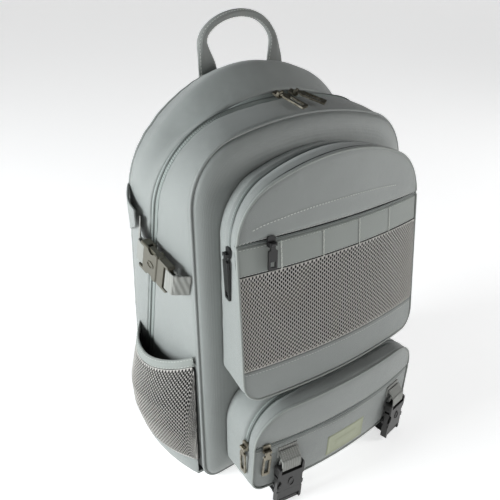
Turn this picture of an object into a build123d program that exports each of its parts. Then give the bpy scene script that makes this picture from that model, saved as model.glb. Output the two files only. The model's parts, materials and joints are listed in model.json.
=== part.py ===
"""Daypack: arched main compartment, domed front pocket, wide lower pocket, side pockets and straps.

Millimetres. +Z is up, the wearer's back is at +Y, and the front pockets face -Y.
The origin is the centre of the flat base that the pack stands on.
"""

from build123d import *
from math import asin, atan2, cos, degrees, hypot, radians, sin, sqrt
from typing import NamedTuple
import os

# ---------------------------------------------------------------- driving dimensions

# main compartment
HALF_WIDTH = 157.0  # half the widest width, at the main zip
BODY_HEIGHT = 446.0  # base to the highest fold of the rear gusset
BASE_DEPTH = 148.0  # back panel to front panel, at the base
TOP_DEPTH = 114.0  # back panel to front panel, at the top
FABRIC = 2.5  # shell fabric with its foam and lining
BASE_PLATE = 2.0  # thickness of the base patch
BASE_TUB = 40.0  # height that the base fabric turns up all round

# zips
ZIP_WIDTH = 11.0  # both tapes together
COIL_WIDTH = 3.6
TAPE = 0.9
COIL = 1.5
ZIP_SINK = 0.5  # tape below the face of the fabric

# webbing and buckles
WEBBING = 25.0  # width
WEBBING_THICK = 1.6
BUCKLE_WIDTH = 34.0
BUCKLE_THICK = 10.0
FEMALE_LENGTH = 34.0
MALE_LENGTH = 20.0  # the part of the male half outside the female half
BUCKLE_TRAVEL = 26.0

# fits
CLEAR = 0.4  # between pieces that move past each other
SEAM_GAP = 0.3  # between soft pieces that only touch


# ---------------------------------------------------------------- outlines and planes


class Outline(NamedTuple):
    """An arch in its plane's own x and up: flat bottom, round corners, shoulders and a crown arc."""

    half_bottom: float
    half_side: float
    bottom: float
    corner: float
    shoulder_height: float
    shoulder: float
    height: float

    def inset(self, gap):
        """The same arch, moved inwards everywhere by gap."""
        return Outline(
            self.half_bottom - gap,
            self.half_side - gap,
            self.bottom + gap,
            max(self.corner - gap, 1.0),
            self.shoulder_height,
            self.shoulder - gap,
            self.height - gap,
        )

    @property
    def across(self):
        """Distance from the middle to a shoulder's centre."""
        return self.half_side - self.shoulder

    @property
    def crown(self):
        """Radius of the arc over the top, tangent to both shoulders."""
        down = self.shoulder_height - self.height
        return (self.shoulder**2 - self.across**2 - down**2) / (2 * (down + self.shoulder))


def leaning(y_bottom, y_top, height):
    """Plane across the pack that passes y_bottom at the base and y_top at height; its z points forward."""
    length = hypot(y_top - y_bottom, height)
    lean_sin, lean_cos = (y_top - y_bottom) / length, height / length
    return Plane(origin=(0, y_bottom, 0), x_dir=(1, 0, 0), z_dir=(0, -lean_cos, lean_sin))


def arc_about(centre, radius, start, end):
    """Arc by its centre, radius, and its two angles in degrees."""
    points = [
        (centre[0] + radius * cos(radians(a)), centre[1] + radius * sin(radians(a)))
        for a in (start, (start + end) / 2, end)
    ]
    return ThreePointArc(*points)


def arch(outline, plane):
    """Face of an outline on a plane."""
    o = outline
    crown = o.crown
    crown_centre = (0, o.height - crown)
    turn = degrees(atan2(o.shoulder_height - crown_centre[1], o.across))
    low = o.half_bottom - o.corner
    foot = o.bottom + o.corner
    right = [
        arc_about((low, foot), o.corner, -90, 0),
        Line((o.half_bottom, foot), (o.half_side, o.shoulder_height)),
        arc_about((o.across, o.shoulder_height), o.shoulder, 0, turn),
    ]
    left = [
        arc_about((-o.across, o.shoulder_height), o.shoulder, 180 - turn, 180),
        Line((-o.half_side, o.shoulder_height), (-o.half_bottom, foot)),
        arc_about((-low, foot), o.corner, 180, 270),
    ]
    over = arc_about(crown_centre, crown, turn, 180 - turn)
    under = Line((-low, o.bottom), (low, o.bottom))
    return plane * make_face(Curve() + [under, *right, over, *left])


def slab(plane, low, high, size=1200):
    """Everything between two planes parallel to plane, at low and high along its z."""
    return plane * Pos(0, 0, (low + high) / 2) * Box(size, size, high - low)


def layer(low, high, size=1200):
    """Everything between two heights."""
    return Pos(0, 0, (low + high) / 2) * Box(size, size, high - low)


def both(shape):
    """A piece and its mirror image on the right."""
    return [shape, mirror(shape, about=Plane.YZ)]


def save(name, *pieces):
    """Writes one node; its solids stay separate."""
    solids = [s for p in pieces for s in p.solids()]
    export_step(solids[0] if len(solids) == 1 else Compound(solids), f"parts/{name}.step")


# ---------------------------------------------------------------- main compartment

BACK_Y = BASE_DEPTH / 2
FRONT_Y = -BASE_DEPTH / 2
ZIP_DROP = 28.0  # the main zip's crown below the highest fold
ZIP_BACK = 19.0  # zip to back panel at the base
ZIP_BACK_TOP = 74.0  # zip to back panel at the top
FRONT_DROP = 40.0  # front edge's crown below the highest fold
BACK_DROP = 10.0

BACK_EDGE = Outline(148, 152, BASE_PLATE, 44, BODY_HEIGHT - 134, 97, BODY_HEIGHT - BACK_DROP)
FOLD = Outline(151, HALF_WIDTH - 2, BASE_PLATE, 42, BODY_HEIGHT - 132, 98, BODY_HEIGHT)
ZIP_EDGE = Outline(152, HALF_WIDTH, BASE_PLATE, 32, BODY_HEIGHT - 130, 95, BODY_HEIGHT - ZIP_DROP)
FRONT_EDGE = Outline(149, 152, BASE_PLATE, 20, BODY_HEIGHT - 116, 65, BODY_HEIGHT - FRONT_DROP)

BACK_PLANE = leaning(BACK_Y, BACK_Y, 1)
FOLD_PLANE = leaning(BACK_Y - 9, BACK_Y - 32, FOLD.height)
ZIP_PLANE = leaning(BACK_Y - ZIP_BACK, BACK_Y - ZIP_BACK_TOP, ZIP_EDGE.height)
FRONT_PLANE = leaning(FRONT_Y, BACK_Y - TOP_DEPTH, FRONT_EDGE.height)

BODY_SECTIONS = [
    (BACK_EDGE, BACK_PLANE),
    (FOLD, FOLD_PLANE),
    (ZIP_EDGE, ZIP_PLANE),
    (FRONT_EDGE, FRONT_PLANE),
]


def body_block(gap):
    """The main compartment as one block, moved inwards by gap."""
    return loft([arch(o.inset(gap), p) for o, p in BODY_SECTIONS], ruled=True)


def body_skin(outer, inner):
    """Ring of the body's skin between two depths below its face."""
    return body_block(outer) - body_block(inner)


def main_shell():
    """Gussets, base tub and main zip."""
    skin = body_skin(0, FABRIC)
    zip_lane = slab(ZIP_PLANE, -ZIP_WIDTH / 2, ZIP_WIDTH / 2)
    above = layer(BASE_TUB, 600)
    upper = skin & above
    rear_gusset = upper & slab(ZIP_PLANE, -400, -ZIP_WIDTH / 2)
    front_gusset = upper & slab(ZIP_PLANE, ZIP_WIDTH / 2, 400)
    patch = extrude(
        Plane.XY * RectangleRounded(2 * (BACK_EDGE.half_bottom - BACK_EDGE.corner), BASE_DEPTH - 24, 18),
        BASE_PLATE + FABRIC,
    )
    base_panel = (skin & layer(-1, BASE_TUB)) + patch
    tape = body_skin(ZIP_SINK, ZIP_SINK + TAPE) & zip_lane & above
    coil_lane = slab(ZIP_PLANE, -COIL_WIDTH / 2, COIL_WIDTH / 2)
    coil = body_skin(ZIP_SINK - COIL, ZIP_SINK) & coil_lane & above
    back_panel = body_block(FABRIC) & slab(BACK_PLANE, 0, FABRIC)
    return {
        "rear_gusset": [rear_gusset],
        "front_gusset": [front_gusset],
        "base_panel": [base_panel],
        "main_zip": [tape, coil],
        "back_panel": [back_panel],
        "front_panel": [front_panel()],
        "front_piping": [front_piping()],
    }


# ---------------------------------------------------------------- front panel and its edge piping

PANEL_CROWN = 11.0  # how far the front panel stands forward of its edge
PANEL_STEPS = [(0.0, 0.0), (4.0, 6.5), (20.0, PANEL_CROWN)]  # inset and rise of the crowned edge
PIPING = 3.0  # diameter


def front_panel():
    """Crowned front of the main compartment."""
    inner = [
        arch(FRONT_EDGE.inset(i + FABRIC), FRONT_PLANE.offset(rise * (1 - FABRIC / PANEL_CROWN)))
        for i, rise in PANEL_STEPS
    ]
    return front_block(0) - loft(inner, ruled=True)


def edge_ring(outline, plane, width, outward, inward):
    """Band that follows an outline's edge, width deep along the plane's z."""
    outer = extrude(arch(outline.inset(-outward), plane.offset(-width / 2)), width)
    inner = extrude(arch(outline.inset(inward), plane.offset(-width / 2)), width)
    return outer - inner


def front_piping():
    """Piping in the seam between front gusset and front panel, outside both."""
    ring = edge_ring(FRONT_EDGE, FRONT_PLANE, PIPING, PIPING / 2, 1)
    return (ring - body_block(-0.05)) - front_block(-0.05)


def front_block(gap):
    """The front panel as one block, moved inwards by gap."""
    sections = [arch(FRONT_EDGE.inset(i + gap), FRONT_PLANE.offset(rise)) for i, rise in PANEL_STEPS]
    return loft(sections, ruled=True)


# ---------------------------------------------------------------- domed upper pocket

UPPER_HALF = 134.0
UPPER_BOTTOM = 139.0
UPPER_TOP = BODY_HEIGHT - 62
UPPER_BULGE = 13.0
POCKET_WALL = 2.0
FACE_LAYER = 1.6
LINER_LAYER = 1.2
PANEL_GAP = 1.0  # pocket gussets start this far in front of the front panel's crown

UPPER_FACE_PLANE = leaning(-139.6, -84.2, 374.9)
UPPER_FACE = Outline(UPPER_HALF, UPPER_HALF, UPPER_BOTTOM, 22, UPPER_TOP - 80, 66, UPPER_TOP)
UPPER_BACK = Outline(UPPER_HALF - 8, UPPER_HALF - 8, UPPER_BOTTOM + 5, 18, UPPER_TOP - 80, 58, UPPER_TOP - 8)
UPPER_BACK_PLANE = FRONT_PLANE.offset(PANEL_CROWN)
UPPER_ZIP_BACK = 13.0  # zip's middle behind the face edge
UPPER_ZIP_END = UPPER_TOP - 84  # height where the gusset zip starts on each side

BAND_TOP = UPPER_TOP - 76  # webbing band across the face
BAND_BOTTOM = BAND_TOP - 30
MESH_BOTTOM = 175.0
FACE_ZIP = 3.0  # visible height of the face zip
BAR_TACKS = 6
BAR_TACK_PITCH = 53.0


def bulge_radius(half, bulge):
    """Radius of the arc that a pocket face follows across the pack."""
    return (half**2 + bulge**2) / (2 * bulge)


def bulge_drum(plane, half, bulge, depth):
    """Drum whose surface is a pocket's face; depth moves it inwards."""
    radius = bulge_radius(half, bulge)
    return plane * Pos(0, 250, bulge - radius) * Rot(90, 0, 0) * Cylinder(radius - depth, 900)


def face_skin(plane, half, bulge, outer, inner):
    """Curved sheet in a pocket's face, between two depths."""
    return bulge_drum(plane, half, bulge, outer) - bulge_drum(plane, half, bulge, inner)


def face_prism(outline, plane):
    """Everything behind and in front of an outline."""
    return extrude(arch(outline, plane.offset(-60)), 120)


def face_strip(plane, low, high):
    """Everything between two heights measured in the plane."""
    return plane * Pos(0, (low + high) / 2, 0) * Box(900, high - low, 900)


def upper_block(gap):
    """The upper pocket as one block, open in front, moved inwards by gap."""
    back = arch(UPPER_BACK.inset(gap), UPPER_BACK_PLANE.offset(SEAM_GAP))
    edge = arch(UPPER_FACE.inset(gap), UPPER_FACE_PLANE)
    return loft([back, edge], ruled=True) + extrude(edge, UPPER_BULGE + 5)


def upper_pocket():
    """Nodes of the upper pocket."""
    plane, half, bulge = UPPER_FACE_PLANE, UPPER_HALF, UPPER_BULGE
    stack = FACE_LAYER + LINER_LAYER
    behind_face = bulge_drum(plane, half, bulge, stack)
    ring = (upper_block(0) - upper_block(POCKET_WALL)) & behind_face
    lane = slab(plane, -UPPER_ZIP_BACK - ZIP_WIDTH / 2, -UPPER_ZIP_BACK + ZIP_WIDTH / 2)
    above = face_strip(plane, UPPER_ZIP_END, 700)
    zip_part = lane & above
    gusset = ring - zip_part
    tape = (upper_block(ZIP_SINK) - upper_block(ZIP_SINK + TAPE)) & zip_part
    coil_lane = slab(plane, -UPPER_ZIP_BACK - COIL_WIDTH / 2, -UPPER_ZIP_BACK + COIL_WIDTH / 2)
    coil = (upper_block(ZIP_SINK - COIL) - upper_block(ZIP_SINK)) & coil_lane & above
    outline = face_prism(UPPER_FACE, plane)
    sheet = face_skin(plane, half, bulge, 0, FACE_LAYER) & outline
    liner = face_skin(plane, half, bulge, FACE_LAYER, stack) & outline
    flap = sheet & face_strip(plane, BAND_TOP + FACE_ZIP, 700)
    face_zip = (face_skin(plane, half, bulge, 0.5, FACE_LAYER) & outline) & face_strip(
        plane, BAND_TOP, BAND_TOP + FACE_ZIP
    )
    band = sheet & face_strip(plane, BAND_BOTTOM, BAND_TOP)
    mesh = sheet & face_strip(plane, MESH_BOTTOM, BAND_BOTTOM)
    hem = sheet & face_strip(plane, 0, MESH_BOTTOM)
    return {
        "upper_pocket_gusset": [gusset],
        "upper_pocket_zip": [tape, coil],
        "upper_pocket_liner": [liner],
        "upper_pocket_flap": [flap],
        "mesh_pocket_zip": [face_zip],
        "daisy_chain_band": [band],
        "front_mesh_panel": [mesh],
        "upper_pocket_hem": [hem],
    }


# ---------------------------------------------------------------- wide lower pocket

LOWER_HALF = 128.0
LOWER_BOTTOM = 22.0
LOWER_TOP = 128.0
LOWER_BULGE = 15.0
LOWER_FACE_Y = -132.5
LOWER_ZIP_BACK = 13.0
LOWER_ZIP_END = 72.0
LOWER_SPLIT = 82.0  # height of the face zip

LOWER_FACE_PLANE = leaning(LOWER_FACE_Y, LOWER_FACE_Y, 1)
LOWER_FACE = Outline(LOWER_HALF, LOWER_HALF, LOWER_BOTTOM, 14, LOWER_TOP - 46, 44, LOWER_TOP)
LOWER_BACK = Outline(LOWER_HALF - 4, LOWER_HALF - 4, LOWER_BOTTOM + 3, 12, LOWER_TOP - 46, 42, LOWER_TOP - 1)


def lower_block(gap):
    """The lower pocket as one block, open in front, moved inwards by gap."""
    back = arch(LOWER_BACK.inset(gap), FRONT_PLANE.offset(PANEL_CROWN + SEAM_GAP))
    edge = arch(LOWER_FACE.inset(gap), LOWER_FACE_PLANE)
    return loft([back, edge], ruled=True) + extrude(edge, LOWER_BULGE + 5)


def lower_pocket():
    """Nodes of the lower pocket."""
    plane, half, bulge = LOWER_FACE_PLANE, LOWER_HALF, LOWER_BULGE
    behind_face = bulge_drum(plane, half, bulge, FACE_LAYER)
    ring = (lower_block(0) - lower_block(POCKET_WALL)) & behind_face
    lane = slab(plane, -LOWER_ZIP_BACK - ZIP_WIDTH / 2, -LOWER_ZIP_BACK + ZIP_WIDTH / 2)
    above = layer(LOWER_ZIP_END, 600)
    gusset = ring - (lane & above)
    tape = (lower_block(ZIP_SINK) - lower_block(ZIP_SINK + TAPE)) & lane & above
    coil_lane = slab(plane, -LOWER_ZIP_BACK - COIL_WIDTH / 2, -LOWER_ZIP_BACK + COIL_WIDTH / 2)
    coil = (lower_block(ZIP_SINK - COIL) - lower_block(ZIP_SINK)) & coil_lane & above
    sheet = face_skin(plane, half, bulge, 0, FACE_LAYER) & face_prism(LOWER_FACE, plane)
    upper_face = sheet & layer(LOWER_SPLIT + FACE_ZIP / 2, 600)
    lower_face = sheet & layer(0, LOWER_SPLIT - FACE_ZIP / 2)
    face_zip = (
        face_skin(plane, half, bulge, 0.5, FACE_LAYER)
        & face_prism(LOWER_FACE, plane)
        & layer(LOWER_SPLIT - FACE_ZIP / 2, LOWER_SPLIT + FACE_ZIP / 2)
    )
    return {
        "lower_pocket_gusset": [gusset],
        "lower_pocket_zip": [tape, coil],
        "lower_pocket_upper_face": [upper_face],
        "lower_pocket_lower_face": [lower_face],
        "lower_face_zip": [face_zip],
        "label_patch": [label_patch()],
    }


LABEL_WIDTH = 62.0
LABEL_HEIGHT = 30.0
LABEL_THICK = 1.4
LABEL_MIDDLE = 44.0


def label_patch():
    """Plain moulded patch on the lower face."""
    plane, half, bulge = LOWER_FACE_PLANE, LOWER_HALF, LOWER_BULGE
    shape = plane.offset(-40) * Pos(0, LABEL_MIDDLE, 0) * RectangleRounded(LABEL_WIDTH, LABEL_HEIGHT, 3)
    return face_skin(plane, half, bulge, -LABEL_THICK, 0) & extrude(shape, 90)



# ---------------------------------------------------------------- side pockets

SIDE_SECTIONS = [  # height, how far it stands out, rear end
    (9.0, 8.0, 52.0),
    (34.0, 19.0, 60.0),
    (66.0, 28.0, 62.0),
    (98.0, 31.0, 62.0),
    (130.0, 25.0, 60.0),
    (178.0, 11.0, 57.0),
]
SIDE_WALL = 1.5
SIDE_MOUTH = (57.0, 153.0, -62.0, 172.0)  # rear y and height, front y and height
SIDE_DIP = 15.0  # how far the mouth dips below the line between its ends
SIDE_BINDING = 11.0
SIDE_BASE = 30.0  # plain fabric below the mesh
SIDE_INNER = HALF_WIDTH - 12


def front_seam(z):
    """Y of the seam between front gusset and front panel at a height."""
    return FRONT_Y + (BASE_DEPTH - TOP_DEPTH) * z / FRONT_EDGE.height


def side_block(gap):
    """A side pocket and its contents as one block, moved inwards by gap."""
    faces = []
    for z, out, rear in SIDE_SECTIONS:
        front = front_seam(z) + 5 + gap
        back = rear - gap
        bow = ThreePointArc(
            (-HALF_WIDTH + 3, front), (-HALF_WIDTH - out + gap, (front + back) / 2), (-HALF_WIDTH + 3, back)
        )
        inside = Polyline(
            (-HALF_WIDTH + 3, back), (-SIDE_INNER, back), (-SIDE_INNER, front), (-HALF_WIDTH + 3, front)
        )
        faces.append(Pos(0, 0, z) * make_face(Curve() + [bow, inside]))
    return loft(faces, ruled=True)


def mouth_cut(extra):
    """Everything above the mouth of a side pocket, lowered by extra."""
    rear_y, rear_z, front_y, front_z = SIDE_MOUTH
    half = hypot(rear_y - front_y, rear_z - front_z) / 2
    radius = (half**2 + SIDE_DIP**2) / (2 * SIDE_DIP)
    along = Vector(0, front_y - rear_y, front_z - rear_z).normalized()
    up = Vector(0, -along.Z, along.Y) * -1
    middle = Vector(0, (rear_y + front_y) / 2, (rear_z + front_z) / 2)
    centre = middle + up * (radius - SIDE_DIP)
    drum = Pos(centre.X, centre.Y, centre.Z) * Rot(0, 90, 0) * Cylinder(radius + extra, 900)
    return drum + layer(SIDE_MOUTH[3] + 2 - extra, 600)


def side_pockets():
    """Mesh, binding and base of both side pockets."""
    wall = (side_block(0) - side_block(SIDE_WALL)) - body_block(0)
    floor = (side_block(0) & layer(0, SIDE_SECTIONS[0][0] + SIDE_WALL)) - body_block(0)
    bound = mouth_cut(SIDE_BINDING)
    mesh = (wall - bound) & layer(SIDE_BASE, 600)
    binding = (wall & bound) - mouth_cut(0)
    base = (wall & layer(0, SIDE_BASE)) + floor
    left, right = both(mesh)
    return {
        "side_pocket_mesh_left": [left],
        "side_pocket_mesh_right": [right],
        "side_pocket_bindings": both(binding),
        "side_pocket_bases": both(base),
    }


# ---------------------------------------------------------------- webbing and buckles


def ribbon(plane, points, width=WEBBING, thick=WEBBING_THICK):
    """Webbing whose edge follows points in the plane; width is across the plane, both ways."""
    count = len(points)

    def normal(a, b):
        length = hypot(b[0] - a[0], b[1] - a[1])
        return (-(b[1] - a[1]) / length, (b[0] - a[0]) / length)

    normals = [normal(points[i], points[i + 1]) for i in range(count - 1)]
    sides = []
    for sign in (1, -1):
        side = []
        for i, (x, y) in enumerate(points):
            n1 = normals[max(i - 1, 0)]
            n2 = normals[min(i, count - 2)]
            scale = sign * thick / 2 / (1 + n1[0] * n2[0] + n1[1] * n2[1])
            side.append((x + (n1[0] + n2[0]) * scale, y + (n1[1] + n2[1]) * scale))
        sides.append(side)
    outline = Polyline(*sides[0], *reversed(sides[1]), close=True)
    return extrude(plane * make_face(outline), width / 2, both=True)


BUCKLE_WALL = 1.9
ARM_WIDTH = 7.0
ARM_REACH = 22.0  # how far the arms go into the female half
WEB_SLOT = 4.5
WEB_BAR = 4.0


def female_half(place):
    """Side-release buckle's female half: x runs out of its mouth, z is its face."""
    length, width, thick = FEMALE_LENGTH, BUCKLE_WIDTH, BUCKLE_THICK
    shell = Pos(-length / 2, 0, 0) * Box(length, width, thick)
    shell = fillet(shell.edges().filter_by(Axis.Z), 3)
    shell = chamfer(shell.faces().sort_by(Axis.Z)[-1].edges(), 1)
    mouth = Pos(-ARM_REACH / 2, 0, 0) * Box(ARM_REACH + 2 * CLEAR, width + 2, thick - 2 * BUCKLE_WALL)
    rib = Pos(-ARM_REACH / 2 - 2, 0, 0) * Box(ARM_REACH - 4, 5, thick - 2)
    waist = [
        Pos(-ARM_REACH / 2 - 1, s * (width / 2 + 2.6), 0) * Cylinder(7, thick + 2) for s in (-1, 1)
    ]
    rear = -length
    slot = Pos(rear + WEB_BAR + WEB_SLOT / 2, 0, 0) * Box(WEB_SLOT, WEBBING + 1.5, thick + 2)
    over_bar = [
        Pos(rear + WEB_BAR / 2, 0, s * (thick / 2 - 0.5)) * Box(WEB_BAR + 2, WEBBING + 1.5, 5)
        for s in (-1, 1)
    ]
    ring = Cylinder(6, 0.8) - Cylinder(4.8, 1)
    boss = Pos(-ARM_REACH / 2, 0, thick / 2 + 0.3) * scale(ring, by=(1, 0.62, 1))
    shape = ((shell - mouth) + rib) - [*waist, slot, *over_bar]
    return place * (shape + boss)


def male_half(place):
    """Its male half: two sprung arms and a bar for the webbing."""
    width, thick = BUCKLE_WIDTH, BUCKLE_THICK
    inner = thick - 2 * BUCKLE_WALL - 2 * CLEAR
    head = Pos(CLEAR + MALE_LENGTH / 2, 0, 0) * Box(MALE_LENGTH - CLEAR, width - 2, thick - 2)
    head = fillet(head.edges().filter_by(Axis.Z), 2.5)
    slot_x = CLEAR + MALE_LENGTH - WEB_BAR - WEB_SLOT / 2
    slot = Pos(slot_x, 0, 0) * Box(WEB_SLOT, WEBBING + 1.5, thick)
    over_bar = [
        Pos(CLEAR + MALE_LENGTH - WEB_BAR / 2, 0, s * (thick / 2 - 0.5)) * Box(WEB_BAR + 2, WEBBING + 1.5, 5)
        for s in (-1, 1)
    ]
    arms = []
    for s in (-1, 1):
        arm = Pos(-ARM_REACH / 2 + 3, s * (width / 2 - ARM_WIDTH / 2 - 0.5), 0) * Box(ARM_REACH, ARM_WIDTH, inner)
        bend = Pos(-ARM_REACH / 2 + 4, s * (width / 2 - ARM_WIDTH - 1), 0) * Cylinder(4.5, inner + 2)
        arms.append(arm - bend)
    return place * ((head - [slot, *over_bar]) + arms)


def loop_ends(bar_x, away, reach):
    """Edge path of webbing that goes round a buckle's bar and comes back; away is -1 or 1 along x."""
    far, near = bar_x + away * (WEB_BAR / 2 + 1.4), bar_x - away * (WEB_BAR / 2 + 1.3)
    high = 2.9
    return [
        (bar_x + away * reach, WEBBING_THICK * 0.52),
        (far + away * 6, high * 0.8),
        (far, high),
        (near, high),
        (near, -high),
        (far, -high),
        (far + away * 6, -high * 0.8),
        (bar_x + away * reach, -WEBBING_THICK * 0.52),
    ]


SIDE_BUCKLE_Y = -13.0
SIDE_BUCKLE_Z = 257.0
SIDE_BUCKLE_LIFT = 10.0
SIDE_BUCKLE_SLOPE = 11.0  # degrees, rear end up
WING_TOP = 320.0
WING_BOTTOM = 266.0
WING_REACH = 38.0
WING_THICK = 2.0

SIDE_PLANE = Plane(origin=(-HALF_WIDTH, 0, 0), x_dir=(0, -1, 0), z_dir=(-1, 0, 0))
SIDE_BUCKLE = (
    Location(SIDE_PLANE)
    * Pos(-SIDE_BUCKLE_Y, SIDE_BUCKLE_Z, SIDE_BUCKLE_LIFT)
    * Rot(0, 0, -SIDE_BUCKLE_SLOPE)
)


def on_side(points, thick):
    """Layer on the side of the body, inside a polygon of (y, z) points."""
    polygon = Plane(origin=(-HALF_WIDTH + 60, 0, 0), x_dir=(0, 1, 0), z_dir=(1, 0, 0)) * make_face(
        Polyline(*points, close=True)
    )
    return body_skin(-thick, 0) & extrude(polygon, -120)


def side_straps():
    """Compression straps with their buckles."""
    edge_plane = Plane(SIDE_BUCKLE * Rot(90, 0, 0))
    tip_y, tip_z = BACK_Y - WING_REACH, (WING_TOP + WING_BOTTOM) / 2 + 3
    wing = on_side([(BACK_Y, WING_TOP), (BACK_Y - 10, WING_BOTTOM), (tip_y, tip_z)], WING_THICK)
    rear_bar = -FEMALE_LENGTH + WEB_BAR / 2
    rear = ribbon(edge_plane, loop_ends(rear_bar, -1, 9))
    bar_end = SIDE_BUCKLE * Pos(rear_bar - 9, 0, 0) * Rot(0, 90, 0)
    tip = Vector(-HALF_WIDTH - WING_THICK - 0.9, tip_y + 3, tip_z)
    away = (bar_end.position - tip).normalized()
    tip_end = Plane(origin=tip, x_dir=(0.45, -away.Z, away.Y), z_dir=away)
    link = [
        bar_end * Rectangle(2.4, WEBBING),
        tip_end * Rectangle(WEBBING * 0.8, 1.2),
    ]
    rear = ((rear + loft(link, ruled=True)) - wing) - body_block(0)
    front_bar = CLEAR + MALE_LENGTH - WEB_BAR / 2
    front = ribbon(edge_plane, loop_ends(front_bar, 1, 9))
    front += ribbon(edge_plane, [(front_bar + 9, 0), (front_bar + 11, 0), (36, -SIDE_BUCKLE_LIFT - 4)])
    front = (front - body_block(0)) - front_piping()
    left_female, right_female = both(female_half(SIDE_BUCKLE))
    left_rear, right_rear = both(rear)
    return {
        "side_strap_wings": both(wing),
        "side_front_webbing": both(front),
        "side_buckle_males": both(male_half(SIDE_BUCKLE)),
        "side_buckle_female_left": [left_female],
        "side_buckle_female_right": [right_female],
        "side_rear_webbing_left": [left_rear],
        "side_rear_webbing_right": [right_rear],
    }


LASH_X = 88.0
LASH_TOP = 76.0
LASH_SEWN = 15.0  # length of each tab that is sewn flat
LASH_MOUTH = 22.0  # height of the lash buckles' mouths
LASH_LIFT = 9.0


def lash_straps():
    """Lash straps on the lower pocket, each with a hanging buckle."""
    radius = bulge_radius(LOWER_HALF, LOWER_BULGE)
    face_y = LOWER_FACE_Y - LOWER_BULGE + radius - sqrt(radius**2 - LASH_X**2)
    turn = degrees(asin(LASH_X / radius))
    frame = Pos(-LASH_X, face_y, 0) * Rot(0, 0, -turn)
    place = frame * Pos(0, -LASH_LIFT, LASH_MOUTH) * Rot(90, 0, 0) * Rot(0, 0, -90)
    edge_plane = Plane(place * Rot(90, 0, 0))
    bar = -FEMALE_LENGTH + WEB_BAR / 2
    tab = ribbon(edge_plane, loop_ends(bar, -1, 9))
    top = LASH_MOUTH - LASH_TOP
    tab += ribbon(edge_plane, [(bar - 9, 0), (bar - 11, 0), (top + 4, -LASH_LIFT + 2.9)])
    back = ribbon(edge_plane, [(top + LASH_SEWN, -LASH_LIFT + 1.2), (top, -LASH_LIFT + 1.2)])
    male_bar = CLEAR + MALE_LENGTH - WEB_BAR / 2
    reach = LOWER_BULGE + 44
    strap = ribbon(
        edge_plane,
        [
            (male_bar - 3.3, 2.9),
            (male_bar - 3.3, -4),
            (LASH_MOUTH - 8, -12),
            (LASH_MOUTH - 12, -reach + 8),
        ],
    )
    strap = strap & layer(0.2, 100)
    left_female, right_female = both(female_half(place))
    left_tab, right_tab = both(tab)
    return {
        "lash_tabs": both(back),
        "lash_tab_loop_left": [left_tab],
        "lash_tab_loop_right": [right_tab],
        "lash_buckle_female_left": [left_female],
        "lash_buckle_female_right": [right_female],
        "lash_buckle_males": both(male_half(place)),
        "lash_straps": both(strap),
    }


# ---------------------------------------------------------------- haul handle, shoulder straps and back

HANDLE_THICK = 4.0
HANDLE_FOOT = BODY_HEIGHT - 17
HANDLE_TOP = HANDLE_FOOT + 69
HANDLE_OUTER = Outline(60, 62, HANDLE_FOOT - 12, 1, HANDLE_TOP - 36, 22, HANDLE_TOP)
HANDLE_INNER = Outline(36, 42, HANDLE_FOOT - 14, 1, HANDLE_TOP - 42, 14, HANDLE_TOP - 12)
PAD_THICK = 10.0
STRAP_WIDTH = 62.0
STRAP_THICK = 12.0
STRAP_X = 58.0
STRAP_SPLAY = 7.0
STRAP_STEPS = 28
STRAP_TOP = BODY_HEIGHT - 84
STRAP_LINE = [
    (80, STRAP_TOP),
    (92, STRAP_TOP + 9),
    (104, STRAP_TOP),
    (113, STRAP_TOP - 37),
    (117, STRAP_TOP - 102),
    (110, STRAP_TOP - 177),
    (96, 138),
]


def handle():
    """Haul handle and the feet that hold it."""
    front = BACK_Y + 0.2
    plane = Plane(origin=(0, front, 0), x_dir=(1, 0, 0), z_dir=(0, -1, 0))
    whole = extrude(arch(HANDLE_OUTER, plane), -HANDLE_THICK)
    whole -= extrude(arch(HANDLE_INNER, plane.offset(5)), -HANDLE_THICK - 10)
    middle = front + HANDLE_THICK / 2
    radius = HANDLE_THICK / 2
    loop = (whole & layer(HANDLE_FOOT, 600)) + (
        (whole & layer(HANDLE_FOOT - radius, HANDLE_FOOT))
        & Pos(0, middle, HANDLE_FOOT) * Rot(0, 90, 0) * Cylinder(radius, 400)
    )
    feet = whole & layer(0, HANDLE_FOOT - radius - CLEAR)
    return {"haul_handle": [loop], "haul_handle_feet": [feet]}


def pad(x, z, width, height, thick, corner):
    """Pad on the back panel."""
    block = Pos(x, BACK_Y + thick / 2, z) * Box(width, thick, height)
    block = fillet(block.edges().filter_by(Axis.Y), corner)
    return fillet(block.faces().sort_by(Axis.Y)[-1].edges(), thick * 0.45)


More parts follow.
